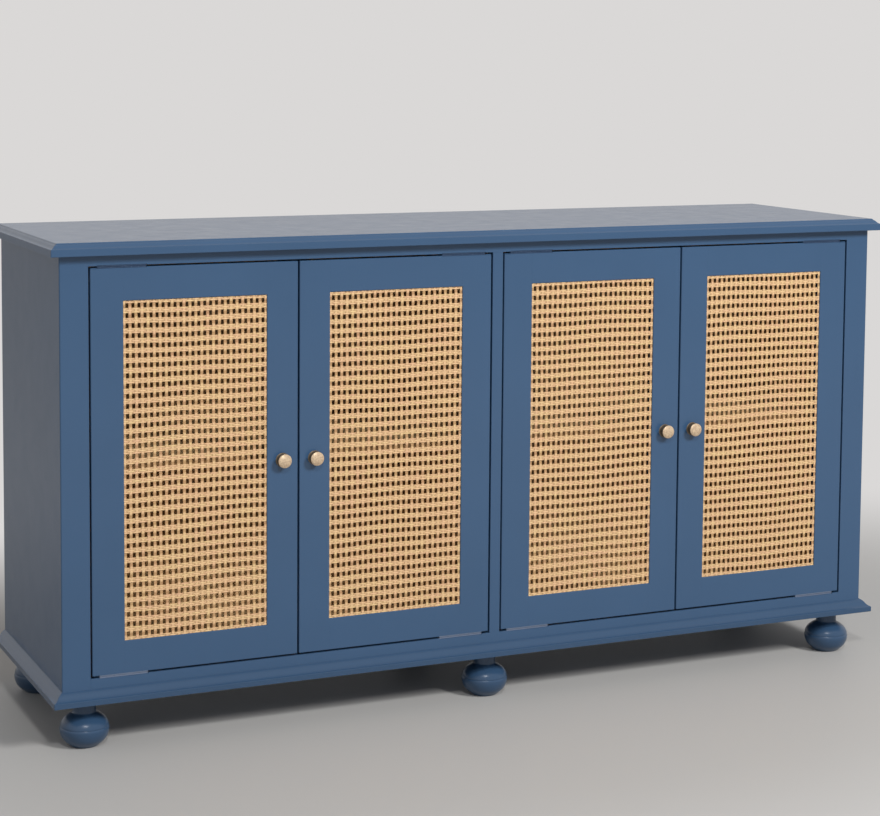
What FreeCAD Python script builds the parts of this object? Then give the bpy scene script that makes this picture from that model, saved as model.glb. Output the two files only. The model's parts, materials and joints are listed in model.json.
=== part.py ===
import FreeCAD, Part
import math
import os
import Sketcher
from types import SimpleNamespace

# Low record cabinet on turned bun feet: four doors with cane panels, two bays with a shelf each.
# Millimetres. +X along the front, +Y to the back, +Z up. The origin is on the floor, midway along
# the width and midway between the tips of the knobs and the back.

PARTS_FOLDER = "parts"

# Driving sizes. Each is one cell of the sheet and has one job.
DRIVING_SIZES = {
    # carcass
    "carcass_width": 1600.0,
    "carcass_depth": 424.0,
    "carcass_height": 731.0,
    "side_thickness": 18.0,
    "partition_thickness": 18.0,
    "back_thickness": 8.0,
    "back_rabbet_width": 9.0,
    "shelf_thickness": 18.0,
    "shelf_height": 339.0,
    "shelf_setback": 20.0,
    "shelf_clearance": 1.0,
    # moulded top and base boards
    "board_overhang": 17.5,
    "board_quirk": 1.4,
    "ogee_fullness": 1.2,
    "top_board_thickness": 22.0,
    "top_lip_height": 12.8,
    "top_moulding_run": 12.8,
    "base_board_thickness": 24.0,
    "base_lip_height": 10.0,
    "base_moulding_run": 17.5,
    # face frame
    "frame_thickness": 22.0,
    "frame_stile_width": 49.0,
    "centre_stile_width": 20.0,
    "frame_top_rail_height": 18.3,
    "frame_bottom_rail_height": 17.0,
    "frame_tenon_length": 14.0,
    "frame_tenon_thickness": 8.0,
    "frame_tenon_shoulder": 4.0,
    "centre_tenon_length": 7.0,
    "joint_clearance": 0.1,
    # doors
    "door_gap": 3.0,
    "door_thickness": 22.0,
    "door_member_width": 56.5,
    "door_tenon_length": 30.0,
    "door_tenon_thickness": 6.0,
    "door_tenon_shoulder": 13.0,
    "cane_rabbet_width": 10.0,
    "cane_setback": 2.0,
    "bead_thickness": 16.0,
    # cane webbing: wide bands across, narrow strands upright behind them
    "cane_hole_width": 5.1,
    "cane_hole_height": 7.9,
    "cane_strand_width": 5.3,
    "cane_band_height": 9.0,
    "cane_strip_thickness": 0.7,
    "cane_edge_clearance": 1.0,
    # pivot hinges let into the top and bottom edges of each door
    "leaf_length": 85.0,
    "leaf_width": 20.0,
    "leaf_thickness": 2.5,
    "leaf_running_gap": 0.4,
    "pivot_pin_radius": 3.0,
    "pivot_radial_clearance": 0.05,
    "pivot_swing_clearance": 0.4,
    # knobs
    "knob_rose_radius": 12.6,
    "knob_rose_thickness": 2.4,
    "knob_neck_radius": 6.2,
    "knob_neck_length": 11.0,
    "knob_head_radius": 12.2,
    "knob_dome_height": 4.6,
    # turned feet
    "foot_height": 83.0,
    "foot_contact_radius": 23.5,
    "bun_radius": 42.0,
    "bun_rim_height": 29.5,
    "bun_height": 57.0,
    "foot_neck_radius": 19.5,
    "foot_side_inset": 48.5,
    "foot_front_inset": 41.0,
    "foot_rear_inset": 48.5,
    # shelf battens and magnetic catches
    "batten_width": 18.0,
    "batten_height": 20.0,
    "batten_setback": 12.0,
    "catch_width": 52.0,
    "catch_depth": 15.0,
    "catch_height": 16.0,
    "catch_plate_thickness": 3.0,
    "catch_door_clearance": 0.3,
}

document = FreeCAD.newDocument("record_cabinet")
sheet = document.addObject("Spreadsheet::Sheet", "Sizes")
for row, (alias, millimetres) in enumerate(DRIVING_SIZES.items(), start=1):
    sheet.set(f"A{row}", alias.replace("_", " "))
    sheet.set(f"B{row}", str(millimetres))
    sheet.setAlias(f"B{row}", alias)
document.recompute()


class Size:
    """A length held as a number to draw with and as the sheet expression that it follows."""

    def __init__(self, number, text):
        self.number = number
        self.text = text

    def __add__(self, other):
        other = as_size(other)
        return Size(self.number + other.number, f"({self.text} + {other.text})")

    def __sub__(self, other):
        other = as_size(other)
        return Size(self.number - other.number, f"({self.text} - {other.text})")

    def __mul__(self, other):
        other = as_size(other)
        return Size(self.number * other.number, f"({self.text} * {other.text})")

    def __truediv__(self, other):
        other = as_size(other)
        return Size(self.number / other.number, f"({self.text} / {other.text})")

    def __neg__(self):
        return self * -1

    def __radd__(self, other):
        return as_size(other) + self

    def __rsub__(self, other):
        return as_size(other) - self

    def __rmul__(self, other):
        return as_size(other) * self


def as_size(value):
    """A bare number becomes a Size with the same number as its expression."""
    if isinstance(value, Size):
        return value
    return Size(float(value), f"({float(value)})")


def from_sheet(alias):
    """The Size that follows one cell of the sheet."""
    return Size(float(sheet.get(alias)), f"Sizes.{alias}")


s = SimpleNamespace(**{alias: from_sheet(alias) for alias in DRIVING_SIZES})

# Levels and planes that pieces share.
knob_reach = s.knob_rose_thickness + s.knob_neck_length + s.knob_dome_height
front_plane = (knob_reach - s.carcass_depth) / 2
frame_back_plane = front_plane + s.frame_thickness
back_plane = front_plane + s.carcass_depth
back_panel_plane = back_plane - s.back_thickness
side_outer = s.carcass_width / 2
side_inner = side_outer - s.side_thickness
base_top_level = s.foot_height + s.base_board_thickness
floor_level = base_top_level + s.frame_bottom_rail_height
ceiling_level = base_top_level + s.carcass_height
opening_top_level = ceiling_level - s.frame_top_rail_height
opening_outer = side_outer - s.frame_stile_width
opening_inner = s.centre_stile_width / 2
shelf_underside = floor_level + s.shelf_height
shelf_front = frame_back_plane + s.shelf_setback - s.shelf_clearance

# Sizes that follow from the opening in the face frame.
door_width = (opening_outer - opening_inner - 3 * s.door_gap) / 2
door_height = opening_top_level - floor_level - 2 * s.door_gap
door_level = floor_level + s.door_gap
cane_opening_width = door_width - 2 * s.door_member_width
cane_opening_height = door_height - 2 * s.door_member_width

# The pivot stands far enough from the door's edge for the corners to swing clear of the stile.
swing_room = s.door_gap - s.pivot_swing_clearance
half_door = s.door_thickness / 2
pivot_inset = (half_door * half_door - swing_room * swing_room) / (2 * swing_room)
pivot_plane = front_plane + half_door
leaf_proud = (s.door_gap - s.leaf_running_gap) / 2
leaf_recess_depth = s.leaf_thickness - leaf_proud

AXIS = "centred on the axis"
kept_pieces = []


def keep(item, label):
    """Names an object as one sub-part of the cabinet, to be written to a file of its own."""
    item.Label = label
    kept_pieces.append(item)
    return item


def place(item, across, deep, up):
    """Ties an object's position to the sheet."""
    for axis, size in zip("xyz", (across, deep, up)):
        item.setExpression(f"Placement.Base.{axis}", as_size(size).text)
    return item


def new_body(name, across, deep, up):
    """An empty body whose origin stands at the given point of the cabinet."""
    return place(document.addObject("PartDesign::Body", name), across, deep, up)


def blank_sketch(body, name, plane, lift):
    """A sketch on an origin plane of its own body, lifted along the plane's normal."""
    drawing = body.newObject("Sketcher::SketchObject", name)
    origin_plane = next(item for item in body.Origin.OriginFeatures if item.Role == plane)
    drawing.AttachmentSupport = [(origin_plane, "")]
    drawing.MapMode = "FlatFace"
    drawing.setExpression("AttachmentOffset.Base.z", as_size(lift).text)
    return drawing


def pin_point(drawing, edge, end, across, up):
    """Ties one point of a sketch to two sizes, or to an axis where a size is the number nought."""
    for kind, axis_line, size in (("DistanceX", -2, across), ("DistanceY", -1, up)):
        if not isinstance(size, Size) and size == 0:
            drawing.addConstraint(Sketcher.Constraint("PointOnObject", edge, end, axis_line))
            continue
        size = as_size(size)
        rule = Sketcher.Constraint(kind, -1, 1, edge, end, size.number)
        number = drawing.addConstraint(rule)
        drawing.setExpression(f"Constraints[{number}]", size.text)


def arc_about_axis(first, last):
    """The centre, on the sketch's upright axis, of the arc from first to last, and its turn."""
    height = (last.Length ** 2 - first.Length ** 2) / (2 * (last.y - first.y))
    centre = FreeCAD.Vector(0, height, 0)
    turn = 1 if (first - centre).cross(last - centre).z > 0 else -1
    return centre, turn


def arc_beside(first, last, radius, turn):
    """The centre of the short arc from first to last, on the left for turn +1, right for -1."""
    chord = last - first
    side = FreeCAD.Vector(-chord.y, chord.x, 0) * (turn / chord.Length)
    return (first + last) * 0.5 + side * math.sqrt(radius ** 2 - (chord.Length / 2) ** 2)


def arc_between(first, last, centre, turn):
    """The arc from first to last, counter-clockwise for turn +1."""
    start, finish = (first, last) if turn > 0 else (last, first)
    angles = [math.atan2(end.y - centre.y, end.x - centre.x) for end in (start, finish)]
    circle = Part.Circle(centre, FreeCAD.Vector(0, 0, 1), (first - centre).Length)
    return Part.ArcOfCircle(circle, angles[0], angles[1])


def add_outline(drawing, corners):
    """Adds a closed outline. A corner (across, up) is reached by a line, (across, up, AXIS) by
    an arc centred on the upright axis and (across, up, radius, turn) by an arc beside it."""
    points = []
    for corner in corners:
        points.append(FreeCAD.Vector(as_size(corner[0]).number, as_size(corner[1]).number, 0))
    edges = []
    for index, point in enumerate(points):
        following = (index + 1) % len(points)
        target = corners[following]
        if len(target) == 2:
            edge = drawing.addGeometry(Part.LineSegment(point, points[following]))
            edges.append((edge, 1, 2))
            continue
        if target[2] == AXIS:
            centre, turn = arc_about_axis(point, points[following])
        else:
            radius, turn = target[2], target[3]
            centre = arc_beside(point, points[following], radius.number, turn)
        edge = drawing.addGeometry(arc_between(point, points[following], centre, turn))
        edges.append((edge, 1, 2) if turn > 0 else (edge, 2, 1))
        if target[2] == AXIS:
            drawing.addConstraint(Sketcher.Constraint("PointOnObject", edge, 3, -2))
        else:
            number = drawing.addConstraint(Sketcher.Constraint("Radius", edge, radius.number))
            drawing.setExpression(f"Constraints[{number}]", radius.text)
    for index, (edge, start, finish) in enumerate(edges):
        next_edge, next_start, next_finish = edges[(index + 1) % len(edges)]
        joined = Sketcher.Constraint("Coincident", edge, finish, next_edge, next_start)
        drawing.addConstraint(joined)
        pin_point(drawing, edge, start, corners[index][0], corners[index][1])


def outline_sketch(body, name, plane, outlines, lift=0):
    """A sketch of one or more closed outlines."""
    drawing = blank_sketch(body, name, plane, lift)
    for corners in outlines:
        add_outline(drawing, corners)
    return drawing


def circle_sketch(body, name, radius, lift=0):
    """A circle about the body's upright axis."""
    drawing = blank_sketch(body, name, "XY_Plane", lift)
    upward = FreeCAD.Vector(0, 0, 1)
    circle = drawing.addGeometry(Part.Circle(FreeCAD.Vector(), upward, radius.number))
    number = drawing.addConstraint(Sketcher.Constraint("Radius", circle, radius.number))
    drawing.setExpression(f"Constraints[{number}]", radius.text)
    pin_point(drawing, circle, 3, 0, 0)
    return drawing


def pad(body, name, drawing, length, backwards=False):
    """Adds material from a sketch, along its plane's normal unless told backwards."""
    feature = body.newObject("PartDesign::Pad", name)
    feature.Profile = drawing
    feature.Reversed = backwards
    feature.setExpression("Length", as_size(length).text)
    return feature


def pocket(body, name, drawing, length, along_normal=False):
    """Takes material away from a sketch, against its plane's normal unless told along it."""
    feature = body.newObject("PartDesign::Pocket", name)
    feature.Profile = drawing
    feature.Reversed = along_normal
    feature.setExpression("Length", as_size(length).text)
    return feature


def revolve(body, name, drawing):
    """Turns a sketch a full circle about its own upright axis."""
    feature = body.newObject("PartDesign::Revolution", name)
    feature.Profile = drawing
    feature.ReferenceAxis = (drawing, ["V_Axis"])
    feature.Angle = 360
    return feature


def rectangle(low_across, high_across, low_up, high_up):
    """The four corners of a rectangle, counter-clockwise."""
    return [(low_across, low_up), (high_across, low_up), (high_across, high_up), (low_across, high_up)]


def box(name, corner, size):
    """A plain board of the given size, with its low corner at the given point."""
    board = document.addObject("Part::Box", name)
    for side, length in zip(("Length", "Width", "Height"), size):
        board.setExpression(side, as_size(length).text)
    return place(board, *corner)


def group(name, members):
    """Several separate solids kept as one sub-part."""
    gathered = document.addObject("Part::Compound", name)
    gathered.Links = members
    return gathered


# ------------------------------------------------------------------ moulded boards


def moulding_waste(edge, inward, lip, top, run):
    """What a cutter takes off an edge at `edge`: an ogee from the quirk above the lip up to the
    top face, `run` in from the edge. inward is +1 where the board lies beyond the edge."""
    spare = s.board_quirk
    rise = top - lip
    ogee_run = run - s.board_quirk
    radius = s.ogee_fullness * (ogee_run * ogee_run + rise * rise) / (4 * rise)
    foot = edge + inward * s.board_quirk
    head = edge + inward * run
    outside = edge - inward * spare
    return [
        (outside, lip),
        (foot, lip),
        ((foot + head) / 2, (lip + top) / 2, radius, inward),
        (head, top, radius, -inward),
        (head, top + spare),
        (outside, top + spare),
    ]


def moulded_board(label, level, thickness, lip, run):
    """A board flush with the carcass at the back that overhangs it elsewhere, with an ogee cut
    along its front and both ends."""
    end = side_outer + s.board_overhang
    front = -s.board_overhang
    body = new_body(label + "_body", 0, front_plane, level)
    outline = rectangle(-end, end, front, s.carcass_depth)
    plan = outline_sketch(body, label + "_plan", "XY_Plane", [outline])
    pad(body, label + "_slab", plan, thickness)
    front_waste = moulding_waste(front, 1, lip, thickness, run)
    start = end + s.board_quirk
    front_cut = outline_sketch(body, label + "_front_ogee", "YZ_Plane", [front_waste], start)
    pocket(body, label + "_front_cut", front_cut, 2 * start)
    left_waste = moulding_waste(-end, 1, lip, thickness, run)
    right_waste = moulding_waste(end, -1, lip, thickness, run)
    both_wastes = [left_waste, right_waste]
    start = s.board_quirk - front
    end_cut = outline_sketch(body, label + "_end_ogee", "XZ_Plane", both_wastes, start)
    pocket(body, label + "_end_cut", end_cut, s.carcass_depth + start + s.board_quirk)
    return keep(body, label)


def make_boards():
    """The top board and the base board."""
    top_edge = (s.top_lip_height, s.top_moulding_run)
    moulded_board("top_board", ceiling_level, s.top_board_thickness, *top_edge)
    base_edge = (s.base_lip_height, s.base_moulding_run)
    moulded_board("base_board", s.foot_height, s.base_board_thickness, *base_edge)


# ------------------------------------------------------------------ feet


def make_foot(name, across, deep):
    """One turned foot: a bun that rounds in from its rim to the floor and to the neck."""
    body = new_body(name, across, front_plane + deep, 0)
    profile = [
        (0, 0),
        (s.foot_contact_radius, 0),
        (s.bun_radius, s.bun_rim_height, AXIS),
        (s.foot_neck_radius, s.bun_height, AXIS),
        (s.foot_neck_radius, s.foot_height),
        (0, s.foot_height),
    ]
    turned = outline_sketch(body, name + "_profile", "XZ_Plane", [profile])
    revolve(body, name + "_turning", turned)
    return body


def make_feet():
    """Three feet along the front and three along the back."""
    column = side_outer - s.foot_side_inset
    columns = {"left": -column, "centre": 0, "right": column}
    rows = {"front": s.foot_front_inset, "rear": s.carcass_depth - s.foot_rear_inset}
    for row_name, deep in rows.items():
        feet = []
        for column_name, across in columns.items():
            feet.append(make_foot(f"foot_{row_name}_{column_name}", across, deep))
        keep(group(f"{row_name}_feet", feet), f"feet_{row_name}")


# ------------------------------------------------------------------ carcass panels

panel_depth = s.carcass_depth - s.frame_thickness
clear_depth = panel_depth - s.back_thickness
half_partition = s.partition_thickness / 2


def make_side(label, hand):
    """An end panel behind the face frame, rabbeted at the back for the back panel."""
    body = new_body(label + "_body", hand * side_outer, frame_back_plane, base_top_level)
    inner = -hand * s.side_thickness
    ledge = -hand * (s.side_thickness - s.back_rabbet_width)
    corners = [
        (0, 0),
        (inner, 0),
        (inner, clear_depth),
        (ledge, clear_depth),
        (ledge, panel_depth),
        (0, panel_depth),
    ]
    plan = outline_sketch(body, label + "_plan", "XY_Plane", [corners])
    pad(body, label + "_panel", plan, s.carcass_height)
    return keep(body, label)


def make_battens():
    """A batten under each end of both shelves, fixed to the upright panel there."""
    starts = {
        "outer_left": -side_inner,
        "inner_left": -half_partition - s.batten_width,
        "inner_right": half_partition,
        "outer_right": side_inner - s.batten_width,
    }
    front = shelf_front + s.batten_setback
    length = back_panel_plane - front
    level = shelf_underside - s.batten_height
    battens = []
    for side, start in starts.items():
        corner = (start, front, level)
        battens.append(box("batten_" + side, corner, (s.batten_width, length, s.batten_height)))
    keep(group("batten_group", battens), "shelf_battens")


def make_panels():
    """Both end panels, the partition, the floor, the back, and the shelves on their battens."""
    make_side("side_left", -1)
    make_side("side_right", 1)
    corner = (-half_partition, frame_back_plane, floor_level)
    size = (s.partition_thickness, clear_depth, ceiling_level - floor_level)
    keep(box("partition_board", corner, size), "centre_partition")
    corner = (-side_inner, frame_back_plane, base_top_level)
    size = (2 * side_inner, clear_depth, s.frame_bottom_rail_height)
    keep(box("floor_board", corner, size), "floor_panel")
    half_back = side_inner + s.back_rabbet_width
    corner = (-half_back, back_panel_plane, base_top_level)
    keep(box("back_board", corner, (2 * half_back, s.back_thickness, s.carcass_height)), "back_panel")
    bay_width = side_inner - half_partition
    size = (bay_width - 2 * s.shelf_clearance, clear_depth - s.shelf_setback, s.shelf_thickness)
    for side, left in (("left", -side_inner), ("right", half_partition)):
        corner = (left + s.shelf_clearance, shelf_front, shelf_underside)
        keep(box("shelf_board_" + side, corner, size), "shelf_" + side)
    make_battens()


# ------------------------------------------------------------------ pivot leaves


def leaf_span(hand, across, oversize):
    """From where to where along the front a pivot leaf reaches, with its pivot at `across`. hand
    is +1 where the leaf runs to +X. A recess is oversize at both ends."""
    near = across - hand * (s.leaf_width / 2 + oversize)
    far = across + hand * (s.leaf_length - s.leaf_width / 2 + oversize)
    return (near, far) if hand > 0 else (far, near)


def leaf_recess(hand, across):
    """The outline of the recess for a pivot leaf, open at the front face of the member."""
    low, high = leaf_span(hand, across, s.joint_clearance)
    rear = half_door + s.leaf_width / 2 + s.joint_clearance
    return rectangle(low, high, -s.joint_clearance, rear)


# Each door: its number, the bay it closes, and the hand of its hinges. hand is +1 where the
# door runs to +X from its hinges, which are then on its left.
DOORS = [(1, -1, 1), (2, -1, -1), (3, 1, 1), (4, 1, -1)]


def hinge_edge(bay, hand):
    """Where the hinge edge of a door stands along the front."""
    outer_door = bay == -hand
    if outer_door:
        return bay * (opening_outer - s.door_gap)
    return bay * (opening_inner + s.door_gap)


def pivot_line(bay, hand):
    """Where the pivots of a door stand along the front."""
    return hinge_edge(bay, hand) + hand * pivot_inset


def make_leaf(name, bay, hand, low_face, facing, with_pin):
    """A pivot leaf with its underside at low_face. facing is +1 where its running face is its
    upper one. A leaf of the frame has the pin, and a leaf of the door has the hole."""
    body = new_body(name, pivot_line(bay, hand), pivot_plane, low_face)
    low, high = leaf_span(hand, 0, 0)
    outline = rectangle(low, high, -s.leaf_width / 2, s.leaf_width / 2)
    plan = outline_sketch(body, name + "_plan", "XY_Plane", [outline])
    pad(body, name + "_plate", plan, s.leaf_thickness)
    if with_pin:
        running_face = s.leaf_thickness if facing > 0 else 0
        pin = circle_sketch(body, name + "_pin_plan", s.pivot_pin_radius, running_face)
        pad(body, name + "_pin", pin, s.leaf_running_gap + s.leaf_thickness, backwards=facing < 0)
    else:
        hole_radius = s.pivot_pin_radius + s.pivot_radial_clearance
        hole = circle_sketch(body, name + "_hole_plan", hole_radius)
        pocket(body, name + "_hole", hole, s.leaf_thickness, along_normal=True)
    return body


def make_frame_leaves():
    """The eight leaves of the face frame, two to a door."""
    leaves = []
    for number, bay, hand in DOORS:
        low = floor_level - leaf_recess_depth
        high = opening_top_level + leaf_recess_depth - s.leaf_thickness
        leaves.append(make_leaf(f"frame_leaf_low_{number}", bay, hand, low, 1, True))
        leaves.append(make_leaf(f"frame_leaf_high_{number}", bay, hand, high, -1, True))
    keep(group("frame_leaves", leaves), "pivot_leaves_frame")


# ------------------------------------------------------------------ face frame


tenon_line = (s.frame_thickness - s.frame_tenon_thickness) / 2


def frame_mortise(low, high):
    """The outline of a mortise for a face-frame tenon between two levels."""
    near = tenon_line - s.joint_clearance
    far = tenon_line + s.frame_tenon_thickness + s.joint_clearance
    return rectangle(near, far, low - s.joint_clearance, high + s.joint_clearance)


def make_frame_stile(label, hand):
    """An outer stile, full height, with a mortise for each rail."""
    body = new_body(label + "_body", hand * side_outer, front_plane, base_top_level)
    inner = -hand * s.frame_stile_width
    low, high = (inner, 0) if hand > 0 else (0, inner)
    outline = rectangle(low, high, 0, s.frame_thickness)
    plan = outline_sketch(body, label + "_plan", "XY_Plane", [outline])
    pad(body, label + "_bar", plan, s.carcass_height)
    shoulder = s.frame_tenon_shoulder
    low_mortise = frame_mortise(shoulder, s.frame_bottom_rail_height - shoulder)
    rail_foot = s.carcass_height - s.frame_top_rail_height
    high_mortise = frame_mortise(rail_foot + shoulder, s.carcass_height - shoulder)
    both = [low_mortise, high_mortise]
    mortises = outline_sketch(body, label + "_mortises", "YZ_Plane", both, inner)
    depth = s.frame_tenon_length + s.joint_clearance
    pocket(body, label + "_mortise_cut", mortises, depth, along_normal=hand > 0)
    return keep(body, label)


def make_frame_rail(label, level, height, running_face, facing):
    """A rail between the outer stiles, with a tenon at each end, a mortise for the centre stile
    and recesses for the pivot leaves in its running face. facing is +1 where that looks up."""
    body = new_body(label + "_body", 0, front_plane, level)
    half = opening_outer
    outline = rectangle(-half, half, 0, s.frame_thickness)
    plan = outline_sketch(body, label + "_plan", "XY_Plane", [outline])
    pad(body, label + "_bar", plan, height)
    reach = half + s.frame_tenon_length
    tenon_side = rectangle(-reach, reach, s.frame_tenon_shoulder, height - s.frame_tenon_shoulder)
    tenons = outline_sketch(body, label + "_tenons", "XZ_Plane", [tenon_side], -tenon_line)
    pad(body, label + "_tenon_bar", tenons, s.frame_tenon_thickness, backwards=True)
    room = s.joint_clearance
    across = s.centre_stile_width / 2 - s.frame_tenon_shoulder + room
    far = tenon_line + s.frame_tenon_thickness + room
    centre_mortise = rectangle(-across, across, tenon_line - room, far)
    mortise = outline_sketch(body, label + "_mortise", "XY_Plane", [centre_mortise], running_face)
    into_rail = facing < 0
    pocket(body, label + "_mortise_cut", mortise, s.centre_tenon_length + room, into_rail)
    recesses = [leaf_recess(hand, pivot_line(bay, hand)) for number, bay, hand in DOORS]
    leaf_plan = outline_sketch(body, label + "_recesses", "XY_Plane", recesses, running_face)
    pocket(body, label + "_recess_cut", leaf_plan, leaf_recess_depth, into_rail)
    return keep(body, label)


def make_centre_stile():
    """The stile between the middle doors, tenoned into both rails."""
    body = new_body("centre_stile_body", 0, front_plane, floor_level)
    half = s.centre_stile_width / 2
    height = opening_top_level - floor_level
    outline = rectangle(-half, half, 0, s.frame_thickness)
    plan = outline_sketch(body, "centre_stile_plan", "XY_Plane", [outline])
    pad(body, "centre_stile_bar", plan, height)
    across = half - s.frame_tenon_shoulder
    side = rectangle(-across, across, -s.centre_tenon_length, height + s.centre_tenon_length)
    tenons = outline_sketch(body, "centre_stile_tenons", "XZ_Plane", [side], -tenon_line)
    pad(body, "centre_stile_tenon_bar", tenons, s.frame_tenon_thickness, backwards=True)
    return keep(body, "frame_stile_centre")


def make_face_frame():
    """Two outer stiles, two rails, a centre stile and the hinge leaves that they carry."""
    make_frame_stile("frame_stile_left", -1)
    make_frame_stile("frame_stile_right", 1)
    low_height = s.frame_bottom_rail_height
    make_frame_rail("frame_bottom_rail", base_top_level, low_height, low_height, 1)
    make_frame_rail("frame_top_rail", opening_top_level, s.frame_top_rail_height, 0, -1)
    make_centre_stile()
    make_frame_leaves()


# ------------------------------------------------------------------ doors

cane_grip = s.cane_rabbet_width - s.cane_edge_clearance
cane_thickness = 2 * s.cane_strip_thickness
bead_plane = s.cane_setback + cane_thickness
tenon_near = (s.door_thickness - s.door_tenon_thickness) / 2
knob_height = door_height / 2


def make_door_stile(label, edge, inward, is_hinge_side):
    """An upright member of a door. edge is its outer edge and inward is +1 where the door lies
    to +X of it. Rabbeted at the back for the cane and mortised for both rails."""
    body = new_body(label + "_body", edge, front_plane, door_level)
    inner = inward * s.door_member_width
    low, high = (0, inner) if inward > 0 else (inner, 0)
    outline = rectangle(low, high, 0, s.door_thickness)
    plan = outline_sketch(body, label + "_plan", "XY_Plane", [outline])
    pad(body, label + "_bar", plan, door_height)
    rabbet_edge = inner - inward * s.cane_rabbet_width
    rabbet_low, rabbet_high = (rabbet_edge, inner) if inward > 0 else (inner, rabbet_edge)
    rabbet_foot = s.door_member_width - s.cane_rabbet_width
    rabbet = rectangle(rabbet_low, rabbet_high, rabbet_foot, door_height - rabbet_foot)
    rabbet_plan = outline_sketch(body, label + "_rabbet", "XZ_Plane", [rabbet], -s.cane_setback)
    pocket(body, label + "_rabbet_cut", rabbet_plan, s.door_thickness - s.cane_setback)
    room = s.joint_clearance
    near = tenon_near - room
    far = tenon_near + s.door_tenon_thickness + room
    start = s.door_tenon_shoulder - room
    finish = s.door_member_width - s.door_tenon_shoulder + room
    low_mortise = rectangle(near, far, start, finish)
    high_mortise = rectangle(near, far, door_height - finish, door_height - start)
    both = [low_mortise, high_mortise]
    mortises = outline_sketch(body, label + "_mortises", "YZ_Plane", both, inner)
    depth = s.door_tenon_length + room
    pocket(body, label + "_mortise_cut", mortises, depth, along_normal=inward < 0)
    if is_hinge_side:
        cut_leaf_recesses(body, label, inward, inward * pivot_inset)
    return keep(body, label)


def cut_leaf_recesses(body, label, hand, pivot_across):
    """Lets the pivot leaves into the lower and upper edge of a door member."""
    for end, lift, along_normal in (("low", 0, True), ("high", door_height, False)):
        corners = leaf_recess(hand, pivot_across)
        recess = outline_sketch(body, f"{label}_{end}_recess", "XY_Plane", [corners], lift)
        pocket(body, f"{label}_{end}_recess_cut", recess, leaf_recess_depth, along_normal)


def make_door_rail(label, left_end, hand, pivot_across, is_top):
    """A cross member of a door between its stiles, with a tenon at each end. Its inner edge is
    rabbeted at the back, and its outer edge takes the rest of the pivot leaf."""
    level = door_height - s.door_member_width if is_top else 0
    body = new_body(label + "_body", left_end, front_plane, door_level + level)
    width = cane_opening_width
    outline = rectangle(0, width, 0, s.door_thickness)
    plan = outline_sketch(body, label + "_plan", "XY_Plane", [outline])
    pad(body, label + "_bar", plan, s.door_member_width)
    reach = s.door_tenon_length
    shoulder = s.door_tenon_shoulder
    tenon = rectangle(-reach, width + reach, shoulder, s.door_member_width - shoulder)
    tenons = outline_sketch(body, label + "_tenons", "XZ_Plane", [tenon], -tenon_near)
    pad(body, label + "_tenon_bar", tenons, s.door_tenon_thickness, backwards=True)
    rabbet_edge = s.door_member_width - s.cane_rabbet_width
    low, high = (rabbet_edge, s.door_member_width)
    if is_top:
        low, high = (0, s.cane_rabbet_width)
    rabbet = rectangle(0, width, low, high)
    rabbet_plan = outline_sketch(body, label + "_rabbet", "XZ_Plane", [rabbet], -s.cane_setback)
    pocket(body, label + "_rabbet_cut", rabbet_plan, s.door_thickness - s.cane_setback)
    lift = s.door_member_width if is_top else 0
    corners = leaf_recess(hand, pivot_across)
    recess = outline_sketch(body, label + "_recess", "XY_Plane", [corners], lift)
    pocket(body, label + "_recess_cut", recess, leaf_recess_depth, along_normal=not is_top)
    return keep(body, label)


def strip_places(opening, strip, hole):
    """Middles of the strips that cross an opening, a hole apart and centred in it. The outer
    two lie over its edges, as far as the strips reach into the rabbets."""
    pitch = strip + hole
    span = opening + min(strip, 2 * cane_grip.number - strip)
    holes = int(span / pitch)
    return [(index - holes / 2) * pitch for index in range(holes + 1)]


def make_cane_panel(label, left):
    """Open cane webbing, held in the rabbets: wide bands across the front and narrow strands
    upright behind them, face to face where they cross, with a rectangular hole between."""
    wide = (cane_opening_width + 2 * cane_grip).number
    high = (cane_opening_height + 2 * cane_grip).number
    thick = s.cane_strip_thickness.number
    strand = s.cane_strand_width.number
    band = s.cane_band_height.number
    strips = []
    for middle in strip_places(cane_opening_height.number, band, s.cane_hole_height.number):
        corner = FreeCAD.Vector(-wide / 2, 0, middle - band / 2)
        strips.append(Part.makeBox(wide, thick, band, corner))
    for middle in strip_places(cane_opening_width.number, strand, s.cane_hole_width.number):
        corner = FreeCAD.Vector(middle - strand / 2, thick, -high / 2)
        strips.append(Part.makeBox(strand, thick, high, corner))
    panel = document.addObject("Part::Feature", label + "_webbing")
    panel.Shape = Part.makeCompound(strips)
    place(panel, left + door_width / 2, front_plane + s.cane_setback, door_level + door_height / 2)
    return keep(panel, label)


def make_beads(label, left):
    """Four strips behind the cane that hold it against the rabbets."""
    margin = s.door_member_width - s.cane_rabbet_width
    deep = front_plane + bead_plane
    low = door_level + margin
    high = door_level + door_height - s.door_member_width
    upright = (s.cane_rabbet_width, s.bead_thickness, door_height - 2 * margin)
    level = (cane_opening_width, s.bead_thickness, s.cane_rabbet_width)
    inner_left = left + s.door_member_width
    inner_right = inner_left + cane_opening_width
    beads = [
        box(label + "_left", (left + margin, deep, low), upright),
        box(label + "_right", (inner_right, deep, low), upright),
        box(label + "_low", (inner_left, deep, low), level),
        box(label + "_high", (inner_left, deep, high), level),
    ]
    return keep(group(label + "_group", beads), label)


def make_knob(label, across):
    """A turned knob: a bevelled rose against the stile and a neck that flares out to a head with
    a domed face."""
    body = new_body(label, across, front_plane, door_level + knob_height)
    profile = [
        (0, 0),
        (0, -knob_reach),
        (s.knob_head_radius, s.knob_dome_height - knob_reach, AXIS),
        (s.knob_neck_radius, -s.knob_rose_thickness),
        (s.knob_rose_radius, 0),
    ]
    turned = outline_sketch(body, label + "_profile", "XY_Plane", [profile])
    revolve(body, label + "_turning", turned)
    return body


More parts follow.
